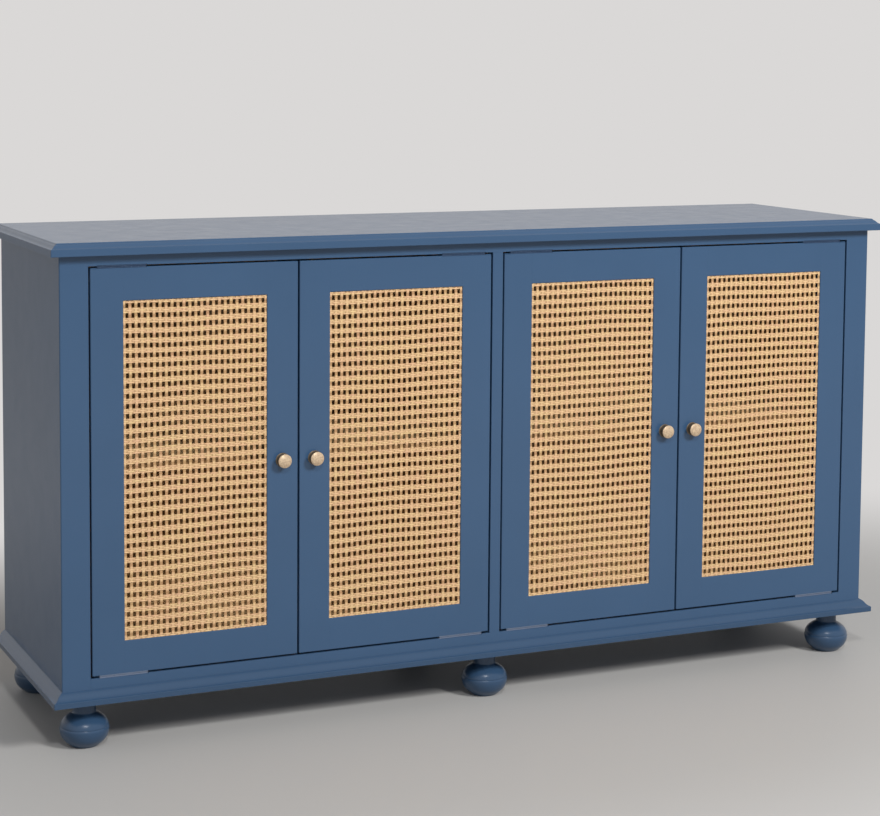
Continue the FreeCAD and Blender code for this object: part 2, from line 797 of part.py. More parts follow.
def make_door(number, bay, hand):
    """One door with everything that swings with it."""
    name = f"door_{number}_"
    hinge = hinge_edge(bay, hand)
    free = hinge + hand * door_width
    left = hinge if hand > 0 else free
    rail_left = left + s.door_member_width
    pivot_from_rail = pivot_line(bay, hand) - rail_left
    make_door_stile(name + "hinge_stile", hinge, hand, True)
    make_door_stile(name + "lock_stile", free, -hand, False)
    make_door_rail(name + "bottom_rail", rail_left, hand, pivot_from_rail, False)
    make_door_rail(name + "top_rail", rail_left, hand, pivot_from_rail, True)
    make_cane_panel(name + "cane_panel", left)
    make_beads(name + "cane_beads", left)
    low = door_level + leaf_recess_depth - s.leaf_thickness
    high = door_level + door_height - leaf_recess_depth
    metalwork = [
        make_knob(name + "knob", free - hand * s.door_member_width / 2),
        make_leaf(name + "low_leaf", bay, hand, low, -1, False),
        make_leaf(name + "high_leaf", bay, hand, high, 1, False),
    ]
    keep(group(name + "metalwork", metalwork), name + "knob_and_pivots")


# ------------------------------------------------------------------ catches


def make_catches():
    """A twin magnetic catch for each pair of doors, hung from the top board behind their
    meeting edges."""
    catches = []
    face = front_plane + s.door_thickness + s.catch_door_clearance
    low = door_level + door_height - s.catch_height
    meeting = (opening_outer + opening_inner) / 2
    rear = face + s.catch_depth - s.catch_plate_thickness
    for name, bay in (("left", -1), ("right", 1)):
        left = bay * meeting - s.catch_width / 2
        case_size = (s.catch_width, s.catch_depth, s.catch_height)
        plate_size = (s.catch_width, s.catch_plate_thickness, ceiling_level - low)
        catch = document.addObject("Part::Fuse", f"catch_{name}")
        catch.Base = box(f"catch_case_{name}", (left, face, low), case_size)
        catch.Tool = box(f"catch_plate_{name}", (left, rear, low), plate_size)
        catches.append(catch)
    keep(group("catch_group", catches), "magnetic_catches")


def check_document():
    """Stops where any object failed, or a sub-part is missing or not a valid solid."""
    for item in document.Objects:
        if "Invalid" in item.State or "Error" in item.State:
            raise RuntimeError(f"{item.Label} did not build: {item.State}")
    for piece in kept_pieces:
        if piece.Shape.isNull() or not piece.Shape.isValid() or not piece.Shape.Solids:
            raise RuntimeError(f"{piece.Label} is not a valid solid")


def write_parts():
    """Writes each sub-part to a file of its own name."""
    os.makedirs(PARTS_FOLDER, exist_ok=True)
    for piece in kept_pieces:
        piece.Shape.exportStep(os.path.join(PARTS_FOLDER, piece.Label + ".step"))


make_boards()
make_feet()
make_panels()
make_face_frame()
for door_number, door_bay, door_hand in DOORS:
    make_door(door_number, door_bay, door_hand)
make_catches()
document.recompute()
check_document()
write_parts()
print(len(kept_pieces), "sub-parts written")
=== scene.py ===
import json
import math
from functools import partial

import bpy
import numpy as np
from bpy.props import FloatProperty, FloatVectorProperty, IntProperty, PointerProperty
from mathutils import Matrix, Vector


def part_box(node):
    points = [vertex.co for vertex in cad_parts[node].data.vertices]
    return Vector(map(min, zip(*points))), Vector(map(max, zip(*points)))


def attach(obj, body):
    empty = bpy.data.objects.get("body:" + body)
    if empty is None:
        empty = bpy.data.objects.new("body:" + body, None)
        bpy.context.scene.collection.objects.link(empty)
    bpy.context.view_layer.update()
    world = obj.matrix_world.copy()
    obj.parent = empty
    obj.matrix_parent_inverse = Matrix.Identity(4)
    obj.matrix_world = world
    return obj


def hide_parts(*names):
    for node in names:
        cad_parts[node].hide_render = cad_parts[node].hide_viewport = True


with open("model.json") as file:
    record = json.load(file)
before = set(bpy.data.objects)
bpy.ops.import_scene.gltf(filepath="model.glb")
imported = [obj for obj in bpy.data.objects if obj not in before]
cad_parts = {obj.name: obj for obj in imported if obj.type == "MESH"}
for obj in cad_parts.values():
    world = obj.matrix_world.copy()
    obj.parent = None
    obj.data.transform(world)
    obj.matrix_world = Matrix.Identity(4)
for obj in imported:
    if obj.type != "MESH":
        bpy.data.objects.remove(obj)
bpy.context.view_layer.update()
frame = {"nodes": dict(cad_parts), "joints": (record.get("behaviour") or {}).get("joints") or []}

bl_info = {"name": "Caned Record Cabinet", "version": (1, 0, 0), "blender": (4, 5, 0),
           "location": "3D View > Sidebar > Cabinet",
           "description": "A painted four-door record cabinet with woven cane door panels",
           "category": "Add Mesh"}

MM = 0.001
DOORS = (1, 2, 3, 4)
ACROSS, DEEP, UP = 0, 1, 2
QUARTER_TURN = np.linspace(0, math.pi / 2, 4)
LEAF_LENGTH, LEAF_THICKNESS = 85.0, 2.5
# from the cabinet's middle to a bay's catch, and a catch's length and the place of its poles
CATCH_PLACE, CATCH_LENGTH, POLE_PLACES = 380.5, 52.0, (-19.5, -6.5, 6.5, 19.5)
BEAD_WIDTH = 10.0
SCREW_PLACES = (24.0, 50.0, 76.0)  # from the pivot end of a leaf


# ------------------------------------------------------------------ measures


def span(node):
    """The lowest and the highest corner of a CAD node, in millimetres."""
    low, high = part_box(node)
    return np.array(low) / MM, np.array(high) / MM


def linear(hex_colour):
    """The linear colour of an sRGB hex colour: each channel is divided by 12.92 near black, and
    otherwise raised to the power 2.4 after its offset of 0.055 is taken up."""
    channels = np.array([int(hex_colour[i : i + 2], 16) for i in (0, 2, 4)]) / 255
    straight = np.where(channels <= 0.04045, channels / 12.92, ((channels + 0.055) / 1.055) ** 2.4)
    return (*straight.tolist(), 1.0)


def pivot_line(door):
    """The x and y in millimetres of the upright line that a door swings on."""
    joint = next(joint for joint in frame["joints"] if joint["child"] == f"door_{door}")
    return np.array(joint["pos_m"][:2]) / MM


def leaf_run(door):
    """The hand of a door's pivot leaves, +1 where they run to +X from the pivot, and where they
    start and end along the front."""
    low, high = span(f"door_{door}_knob_and_pivots")
    hand = 1 if door in (1, 3) else -1
    start = low[0] if hand > 0 else high[0]
    return hand, *sorted((start, start + hand * LEAF_LENGTH))


# ------------------------------------------------------------------ surfaces


def soften(corners, radii, inset=0.0, steps=4, least=0.05):
    """A right-angled section with rounded corners, drawn in by inset on every side. A corner
    moves by inset along both of its sides, and then becomes a quarter circle that touches them:
    centre less radius times (cosine of the turn along one side plus sine along the other)."""
    corners = np.asarray(corners, float)
    back = np.roll(corners, 1, axis=0) - corners
    ahead = np.roll(corners, -1, axis=0) - corners
    back /= np.linalg.norm(back, axis=1, keepdims=True)
    ahead /= np.linalg.norm(ahead, axis=1, keepdims=True)
    bend = np.cross(ahead, back)
    winding = np.sign(bend) * np.sign(bend.sum())
    corners = corners + winding[:, None] * (back + ahead) * inset
    reach = np.maximum(np.broadcast_to(radii, len(corners)) - winding * inset, least)
    turn = np.linspace(0, math.pi / 2, steps)[None, :, None]
    centres = corners + (back + ahead) * reach[:, None]
    swung = np.cos(turn) * ahead[:, None] + np.sin(turn) * back[:, None]
    return (centres[:, None] - reach[:, None, None] * swung).reshape(-1, 2)


def prism(corners, radii, low, high, axis, round_low=0.0, round_high=0.0):
    """A section carried in a straight line along one axis. A rounded end is a quarter circle:
    the section is drawn in by radius times (1 - sine) where the end has been left behind by
    radius times (1 - cosine)."""
    places, insets = [], []
    for end, radius, onward, swing in (
        (low, round_low, 1, QUARTER_TURN),
        (high, round_high, -1, QUARTER_TURN[::-1]),
    ):
        swing = swing if radius else np.array([math.pi / 2])
        places.append(end + onward * radius * (1 - np.cos(swing)))
        insets.append(radius * (1 - np.sin(swing)))
    places, insets = np.concatenate(places), np.concatenate(insets)
    flat = np.stack([soften(corners, radii, inset) for inset in insets])
    level = np.broadcast_to(places[:, None], flat.shape[:2])
    return np.stack(in_order(axis, level, flat[..., 0], flat[..., 1]), axis=-1)[None]


def in_order(axis, along, first, second):
    """The three coordinate arrays in x, y, z order, from the one along the axis and the two
    across it, which come in the order of the axes left."""
    parts = [first, second]
    parts.insert(axis, along)
    return parts


def rectangle(left, right, front, back):
    """The corners of a rectangle, in order round it from the one at the left and the front."""
    return [(left, front), (right, front), (right, back), (left, back)]


def block(low, high, axis, radii, round_low=0.0, round_high=0.0):
    """A board between two opposite corners, as a rounded rectangle carried along one axis. The
    radii go round from the corner that is low in both of the other axes."""
    first, second = [k for k in range(3) if k != axis]
    corners = rectangle(low[first], high[first], low[second], high[second])
    return prism(corners, radii, low[axis], high[axis], axis, round_low, round_high)


def through(points, per_span):
    """A smooth line through points: between two points a Catmull-Rom cubic, whose slope at
    each point is half of the step between its two neighbours."""
    points = np.asarray(points, float)
    ends = np.concatenate([points[:1], points, points[-1:]])
    t = (np.arange(per_span) / per_span)[None, :, None]
    a, b, c, d = (ends[k : len(points) - 1 + k, None] for k in range(4))
    curve = (
        2 * b
        + (c - a) * t
        + (2 * a - 5 * b + 4 * c - d) * t**2
        + (3 * b - a - 3 * c + d) * t**3
    ) / 2
    return np.concatenate([curve.reshape(-1, points.shape[1]), points[-1:]])


def set_round(centres, axis, along, first, second):
    """Copies of a surface, one for each centre. The surface is given by how far its points lie
    along an axis and along the two other axes."""
    surface = np.stack(in_order(axis, *np.broadcast_arrays(along, first, second)), axis=-1)
    return surface[None] + np.atleast_2d(np.asarray(centres, float))[:, None, None]


def turned(profile, centres, axis, around, facing=1):
    """A profile of (radius, place along the axis) turned about lines through the centres: the
    circle's points are radius times cosine and sine of the angle round the axis."""
    profile = np.asarray(profile, float)
    angle = np.arange(around) / around * 2 * math.pi
    radius, place = profile[:, :1], profile[:, 1:] * facing
    return set_round(centres, axis, place, radius * np.cos(angle), radius * np.sin(angle))


def loft_faces(rings):
    """The corner numbers of the quads between neighbouring rings and of the flat faces on the
    first and the last ring, for each shape, turned round where they would face inwards: the sum
    of corner . (next corner x last corner) is six times the volume and has to be positive."""
    shapes, stations, points = rings.shape[:3]
    ring = np.arange(stations * points).reshape(stations, points)
    beside = np.roll(ring, -1, axis=1)
    quads = np.stack([ring[:-1], beside[:-1], beside[1:], ring[1:]], axis=-1)
    ends = np.stack([ring[0, ::-1], ring[-1]])
    quads = quads.reshape(-1, 4)
    flat = rings.reshape(shapes, -1, 3)
    flat = flat - flat.mean(axis=1, keepdims=True)
    a, b, c, d = (flat[:, quads[:, k]] for k in range(4))
    volume = (a * np.cross(b, c)).sum((1, 2)) + (a * np.cross(c, d)).sum((1, 2))
    for end in ends:
        hub = flat[:, end[:1]]
        fan = np.cross(flat[:, end[1:-1]], flat[:, end[2:]])
        volume = volume + (hub * fan).sum((1, 2))
    start = (np.arange(shapes) * stations * points)[:, None, None]
    inward = (volume < 0)[:, None, None]
    quads = np.where(inward, quads[None, :, ::-1], quads[None]) + start
    ends = np.where(inward, ends[None, :, ::-1], ends[None]) + start
    return quads.reshape(-1, 4), ends.reshape(-1, points)


def build_mesh(name, lofts, sharp=35.0):
    """One mesh out of lofts. A loft is an array of rings, as (shapes, stations, ring points,
    xyz) in millimetres, or a dict with rings and arrays to keep on the points."""
    lofts = [{"rings": loft} if isinstance(loft, np.ndarray) else loft for loft in lofts]
    points, polygons, kept, start = [], [], {}, 0
    for loft in lofts:
        rings = loft["rings"]
        quads, ends = loft_faces(rings)
        polygons += [quads + start, ends + start]
        points.append(rings.reshape(-1, 3))
        for label, values in loft.get("attributes", {}).items():
            width = values.shape[-1] if values.ndim == 4 else 1
            kept.setdefault(label, []).append(values.reshape(-1, width))
        start += len(points[-1])
    points = np.concatenate(points) * MM
    corners = np.concatenate([p.ravel() for p in polygons])
    sizes = np.concatenate([np.full(len(p), p.shape[1]) for p in polygons])
    mesh = bpy.data.meshes.new(name)
    mesh.vertices.add(len(points))
    mesh.vertices.foreach_set("co", points.astype(np.float32).ravel())
    mesh.loops.add(len(corners))
    mesh.loops.foreach_set("vertex_index", corners.astype(np.int32))
    mesh.polygons.add(len(sizes))
    mesh.polygons.foreach_set("loop_start", (np.cumsum(sizes) - sizes).astype(np.int32))
    mesh.polygons.foreach_set("use_smooth", np.ones(len(sizes), bool))
    mesh.update(calc_edges=True)
    if mesh.validate(verbose=False):
        raise RuntimeError(f"{name}: the surface has faulty faces")
    for label, values in kept.items():
        values = np.concatenate(values)
        form = "FLOAT_VECTOR" if values.shape[1] == 3 else "FLOAT"
        field = "vector" if values.shape[1] == 3 else "value"
        attribute = mesh.attributes.new(label, form, "POINT")
        attribute.data.foreach_set(field, values.astype(np.float32).ravel())
    mesh.set_sharp_from_angle(angle=math.radians(sharp))
    return mesh


def add_piece(name, lofts, finish, stands_for=(), sharp=35.0, is_board=False):
    """A piece of the cabinet in its finish, instead of the CAD nodes that it stands for. A piece
    that is named after a door rides on it, and any other on the carcass. An earlier piece of the
    same name is taken away first. A board is shaded by its broad faces, so that they look flat
    between their rounded arrises."""
    body = next((f"door_{door}" for door in DOORS if name.startswith(f"door_{door}")), "carcass")
    old = bpy.data.objects.get(name)
    if old is not None:
        bpy.data.objects.remove(old)
    piece = bpy.data.objects.new(name, build_mesh(name, lofts, sharp))
    bpy.context.scene.collection.objects.link(piece)
    piece.data.materials.append(finish)
    if is_board:
        shading = piece.modifiers.new("flat_faces", "WEIGHTED_NORMAL")
        shading.mode, shading.weight, shading.keep_sharp = "FACE_AREA", 100, True
    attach(piece, body)
    if stands_for:
        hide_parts(*stands_for)


# ------------------------------------------------------------------ finishes


def add_node(tree, kind, sockets=(), **settings):
    """Adds a node with its settings. A socket that is given another node's socket is linked to
    it, one that is given a node to its first socket in use, and any other value is set on it."""
    node = tree.nodes.new("ShaderNode" + kind)
    for key, value in settings.items():
        setattr(node, key, value)
    for key, value in dict(sockets).items():
        if isinstance(value, bpy.types.Node):
            value = next(socket for socket in value.outputs if socket.enabled)
        if isinstance(value, bpy.types.NodeSocket):
            tree.links.new(value, node.inputs[key])
        else:
            node.inputs[key].default_value = value
    return node


def new_finish(name):
    """An empty material and the function that adds its nodes. One of the same name is emptied
    and used again."""
    material = bpy.data.materials.get(name) or bpy.data.materials.new(name)
    material.use_nodes = True
    material.node_tree.nodes.clear()
    return material, partial(add_node, material.node_tree)


def close_finish(material, sockets):
    """The surface shader at the end of a finish, linked to the material's output."""
    shader = add_node(material.node_tree, "BsdfPrincipled", sockets)
    add_node(material.node_tree, "OutputMaterial", {"Surface": shader})
    return material


def scaled(colour, factor=1.0):
    """A linear colour, made lighter or darker by a factor, with its alpha."""
    return (*(min(1.0, c * factor) for c in tuple(colour)[:3]), 1.0)


def satin_lacquer(name="satin_blue_lacquer", shade_factor=1.0, dull=0.0, bare_to=None):
    """Sprayed satin lacquer on close-grained wood: an even blue that drifts a little in tone from
    board to board, a soft sheen, and the faint orange peel that spraying leaves. The shade factor
    is below 1 on the base board and the feet, whose blue is painted shade: drawn darker for the
    less light that reaches them low down. Dull is added to the roughness where the spray came thin.
    The sides' inner faces, up to a distance in millimetres from the middle, are bare pine."""
    look = bpy.context.scene.cabinet_finishes
    material, add = new_finish(name)
    place = add("TexCoord").outputs["Object"]
    # the tone drifts over patches about 180 mm wide
    drift = add("TexNoise", {"Vector": place, "Scale": 5.5, "Detail": 3.0, "Roughness": 0.55})
    # painted shade: with a shade factor below 1 the whole blue is drawn darker
    tone = add(
        "Mix",
        {0: drift, 6: scaled(look.lacquer_colour, 0.93 * shade_factor),
         7: scaled(look.lacquer_colour, 1.07 * shade_factor)}, data_type="RGBA")
    if bare_to is not None:
        across = add("SeparateXYZ", {"Vector": place}).outputs["X"]
        reach = add("Math", {0: across}, operation="ABSOLUTE")
        inside = add("Math", {0: reach, 1: bare_to * MM}, operation="LESS_THAN")
        tone = add("Mix", {0: inside, 6: tone, 7: growth_lines(add, place, UP)}, data_type="RGBA")
    # orange peel is about 2 mm from crest to crest, drawn at 4 mm so that it shows
    peel = add("TexNoise", {"Vector": place, "Scale": 250.0, "Detail": 1.0})
    # the coat's own swell is about 36 mm from crest to crest
    swell = add("TexNoise", {"Vector": place, "Scale": 28.0, "Detail": 2.0})
    surface = add("Bump", {"Height": peel, "Strength": 0.06, "Distance": 0.0003})
    surface = add(
        "Bump", {"Height": swell, "Strength": 0.08, "Distance": 0.0006, "Normal": surface})
    sheen = add(
        "MapRange",
        {"Value": swell, "To Min": look.lacquer_roughness + dull - 0.04,
         "To Max": look.lacquer_roughness + dull + 0.04})
    return close_finish(
        material, {"Base Color": tone, "Roughness": sheen, "IOR": 1.5, "Normal": surface})


def natural_cane():
    """Peeled rattan bark, split into flat strands and woven: pale straw with strands that are
    pinker, yellower or greyer than their neighbours, fine fibres along each strand, a smooth face
    with a low gloss, and painted shade: dark brown where a strand dives under another, at its
    edges, on its back and beside the holes."""
    look = bpy.context.scene.cabinet_finishes
    material, add = new_finish("natural_woven_cane")
    # the strand attribute holds metres along, metres across, and a number for each strand
    strand = add("Attribute", attribute_name="strand", attribute_type="GEOMETRY").outputs["Vector"]
    # fibres are about 0.25 mm wide and 20 mm long
    drawn = add("Mapping", {"Vector": strand, "Scale": (50.0, 4000.0, 40.0)})
    fibres = add("TexNoise", {"Vector": drawn, "Scale": 1.0, "Detail": 2.0})
    # each strand's own colour, which changes slowly over 60 mm along it
    drawn = add("Mapping", {"Vector": strand, "Scale": (16.0, 0.0, 50.0)})
    own = add("TexNoise", {"Vector": drawn, "Scale": 1.0, "Detail": 2.0, "Roughness": 0.6})
    share = add("MapRange", {"Value": own, "From Min": 0.3, "From Max": 0.7})
    body = add(
        "Mix", {0: share, 6: scaled(look.cane_pink), 7: scaled(look.cane_straw)}, data_type="RGBA")
    streaks = add(
        "MapRange",
        {"Value": fibres, "From Min": 0.3, "From Max": 0.7, "To Min": 0.82, "To Max": 1.08})
    streaked = add("Mix", {0: 1.0, 6: body, 7: streaks}, data_type="RGBA", blend_type="MULTIPLY")
    # painted shade: the shade attribute is 1 on the open face of a strand and falls towards 0, and
    # the colour towards dark brown, where it dives under, at its edges and back and beside the
    # holes
    shade = add("Attribute", attribute_name="shade", attribute_type="GEOMETRY").outputs["Fac"]
    colour = add("Mix", {0: shade, 6: linear("7A4C18"), 7: streaked}, data_type="RGBA")
    surface = add("Bump", {"Height": fibres, "Strength": 0.35, "Distance": 0.00012})
    return close_finish(
        material, {"Base Color": colour, "Roughness": 0.48, "IOR": 1.5, "Normal": surface})


def growth_lines(add, place, grain):
    """The colour of clear-varnished pine: honey, with darker growth lines about 12 mm apart that
    run along the grain, which is one of the three axes."""
    scale = [85.0] * 3
    scale[grain] = 2.5
    squeezed = add("Mapping", {"Vector": place, "Scale": scale})
    lines = add("TexNoise", {"Vector": squeezed, "Scale": 1.0, "Detail": 3.0})
    bands = add("MapRange", {"Value": lines, "From Min": 0.35, "From Max": 0.65})
    tone = add("Mix", {0: bands, 6: linear("CDA672"), 7: linear("E6C896")}, data_type="RGBA")
    return tone


def varnished_wood(name, grain, lipped_to=None):
    """Clear-varnished pine, planed and sanded: growth lines along the grain, short fine pores and
    a satin gloss. A shelf has a darker hardwood lipping on its front edge, up to a depth in
    millimetres."""
    material, add = new_finish(name)
    place = add("TexCoord").outputs["Object"]
    # pores are 0.7 mm wide and 30 mm long
    scale = [1400.0] * 3
    scale[grain] = 35.0
    squeezed = add("Mapping", {"Vector": place, "Scale": scale})
    pores = add("TexNoise", {"Vector": squeezed, "Scale": 1.0, "Detail": 3.0})
    tone = growth_lines(add, place, grain)
    if lipped_to is not None:
        depth = add("SeparateXYZ", {"Vector": place}).outputs["Y"]
        edge = add("Math", {0: depth, 1: lipped_to * MM}, operation="LESS_THAN")
        tone = add("Mix", {0: edge, 6: tone, 7: linear("AD8456")}, data_type="RGBA")
    surface = add("Bump", {"Height": pores, "Strength": 0.2, "Distance": 0.0001})
    return close_finish(
        material, {"Base Color": tone, "Roughness": 0.42, "IOR": 1.5, "Normal": surface})


def antiqued_brass():
    """Cast brass, chemically darkened and then rubbed: pale and pinkish where hands and the
    polishing wheel reach, brown-black in the neck and under the head."""
    look = bpy.context.scene.cabinet_finishes
    material, add = new_finish("antiqued_brass")
    place = add("TexCoord").outputs["Object"]
    # the patina's patches are about 3 mm wide, its pores about 0.6 mm
    patches = add("TexNoise", {"Vector": place, "Scale": 330.0, "Detail": 3.0, "Roughness": 0.6})
    pores = add("TexNoise", {"Vector": place, "Scale": 1600.0, "Detail": 1.0})
    wear = add("Attribute", attribute_name="wear", attribute_type="GEOMETRY").outputs["Fac"]
    rubbed = add("Mix", {0: patches, 6: linear("E0B89C"), 7: linear("F0DFBA")}, data_type="RGBA")
    share = add(
        "MapRange",
        {"Value": patches, "From Min": 0.35, "From Max": 0.65, "To Min": 0.72, "To Max": 1.0})
    reach = add("Math", {0: wear, 1: share}, operation="MULTIPLY")
    colour = add("Mix", {0: reach, 6: scaled(look.brass_dark), 7: rubbed}, data_type="RGBA")
    gloss = add("MapRange", {"Value": patches, "To Min": 0.34, "To Max": 0.52})
    surface = add("Bump", {"Height": pores, "Strength": 0.25, "Distance": 0.0001})
    return close_finish(
        material, {"Base Color": colour, "Metallic": 0.5, "Roughness": gloss, "Normal": surface})


def zinc_plated_steel():
    """Zinc-plated steel, rolled and barrel-finished: a bluish grey metal with a dull gloss and
    fine rolling lines."""
    material, add = new_finish("zinc_plated_steel")
    place = add("TexCoord").outputs["Object"]
    # rolling lines run along the leaves, 0.4 mm apart
    drawn = add("Mapping", {"Vector": place, "Scale": (60.0, 2500.0, 2500.0)})
    lines = add("TexNoise", {"Vector": drawn, "Scale": 1.0, "Detail": 2.0})
    colour = add("Mix", {0: lines, 6: linear("75849F"), 7: linear("9AA8C0")}, data_type="RGBA")
    gloss = add("MapRange", {"Value": lines, "To Min": 0.38, "To Max": 0.58})
    return close_finish(material, {"Base Color": colour, "Metallic": 0.9, "Roughness": gloss})


def shaded_leaf_steel():
    """Steel for the upper leaves, drawn as painted shade for the dark gap under the top board: a
    dark blue-grey with a dull gloss and specks of metal."""
    material, add = new_finish("shaded_leaf_steel")
    place = add("TexCoord").outputs["Object"]
    # the bare specks are about 2 mm long
    specks = add("TexNoise", {"Vector": place, "Scale": 500.0, "Detail": 2.0})
    bare = add("MapRange", {"Value": specks, "From Min": 0.55, "From Max": 0.75})
    colour = add("Mix", {0: bare, 6: linear("2B3F5A"), 7: linear("5B6C84")}, data_type="RGBA")
    return close_finish(material, {"Base Color": colour, "Metallic": 0.2, "Roughness": 0.5})


def moulded_plastic():
    """Injection-moulded brown ABS: an even colour, a low gloss and the fine grain of a
    spark-eroded mould."""
    material, add = new_finish("moulded_brown_plastic")
    place = add("TexCoord").outputs["Object"]
    # the mould's grain is about 0.5 mm
    grain = add("TexNoise", {"Vector": place, "Scale": 2000.0, "Detail": 1.0})
    colour = add("Mix", {0: grain, 6: linear("453023"), 7: linear("54402F")}, data_type="RGBA")
    surface = add("Bump", {"Height": grain, "Strength": 0.3, "Distance": 0.00008})
    return close_finish(
        material, {"Base Color": colour, "Roughness": 0.5, "IOR": 1.53, "Normal": surface})


# ------------------------------------------------------------------ sizes and colours


COLOUR = {"subtype": "COLOR", "size": 3, "min": 0, "max": 1}


class CabinetFinishes(bpy.types.PropertyGroup):
    """The colours and gloss of the cabinet's finishes."""

    lacquer_colour: FloatVectorProperty(
        name="Lacquer", description="Colour of the satin lacquer", default=linear("365271")[:3],
        **COLOUR)
    lacquer_roughness: FloatProperty(
        name="Lacquer roughness", description="How far the lacquer's sheen spreads",
        subtype="FACTOR", min=0.1, max=0.9, default=0.24)
    cane_straw: FloatVectorProperty(
        name="Cane, straw", description="Colour of the yellower strands",
        default=linear("EACA94")[:3], **COLOUR)
    cane_pink: FloatVectorProperty(
        name="Cane, pink", description="Colour of the pinker strands", default=linear("E8BB94")[:3],
        **COLOUR)
    brass_dark: FloatVectorProperty(
        name="Brass, dark", description="Colour of the brass where nothing rubs it",
        default=linear("4A4136")[:3], **COLOUR)


class CabinetSizes(bpy.types.PropertyGroup):
    """Sizes of the rounded arrises and of the cane webbing."""

    arris: FloatProperty(
        name="Arris", description="Radius of the rounded arrises of the boards and doors",
        unit="LENGTH", min=0.0002, max=0.003, default=0.0016)
    strand_width: FloatProperty(
        name="Upright strands", description="Width of a pair of upright strands", unit="LENGTH",
        min=0.002, max=0.008, default=0.0053)
    strand_pitch: FloatProperty(
        name="Strand pitch", description="Distance from one pair of upright strands to the next",
        unit="LENGTH", min=0.005, max=0.03, default=0.0104)
    band_height: FloatProperty(
        name="Bands", description="Height of a band of level strands", unit="LENGTH", min=0.003,
        max=0.02, default=0.009)
    band_pitch: FloatProperty(
        name="Band pitch", description="Distance from one band of level strands to the next",
        unit="LENGTH", min=0.008, max=0.05, default=0.0169)
    strands_per_band: IntProperty(
        name="Strands in a band",
        description="Number of level strands woven side by side in a band", min=1, max=6, default=3)
    sway: FloatProperty(
        name="Sway", description="How far the woven rows wander from straight", unit="LENGTH",
        min=0.0, max=0.004, default=0.0014)


class CabinetStage(bpy.types.PropertyGroup):
    """The floor, the light and the camera."""

    floor_colour: FloatVectorProperty(
        name="Floor", description="Colour of the floor", default=linear("B8B6B3")[:3], **COLOUR)
    wall_colour: FloatVectorProperty(
        name="Wall", description="Colour of the backdrop", default=linear("DAD8D7")[:3], **COLOUR)
    key_power: FloatProperty(
        name="Key light", description="Power of the large soft light at the front right",
        unit="POWER", min=0, max=2000, default=258)
    window_power: FloatProperty(
        name="Window", description="Power of the small light that shows in the gloss", unit="POWER",
        min=0, max=500, default=95)
    room_light: FloatProperty(
        name="Room light", description="Strength of the light that comes from all round",
        subtype="FACTOR", min=0, max=2, default=0.28)
    lens: FloatProperty(
        name="Lens", description="Focal length of the camera, in millimetres", unit="CAMERA",
        min=20, max=300, default=86.86)


# ------------------------------------------------------------------ stage


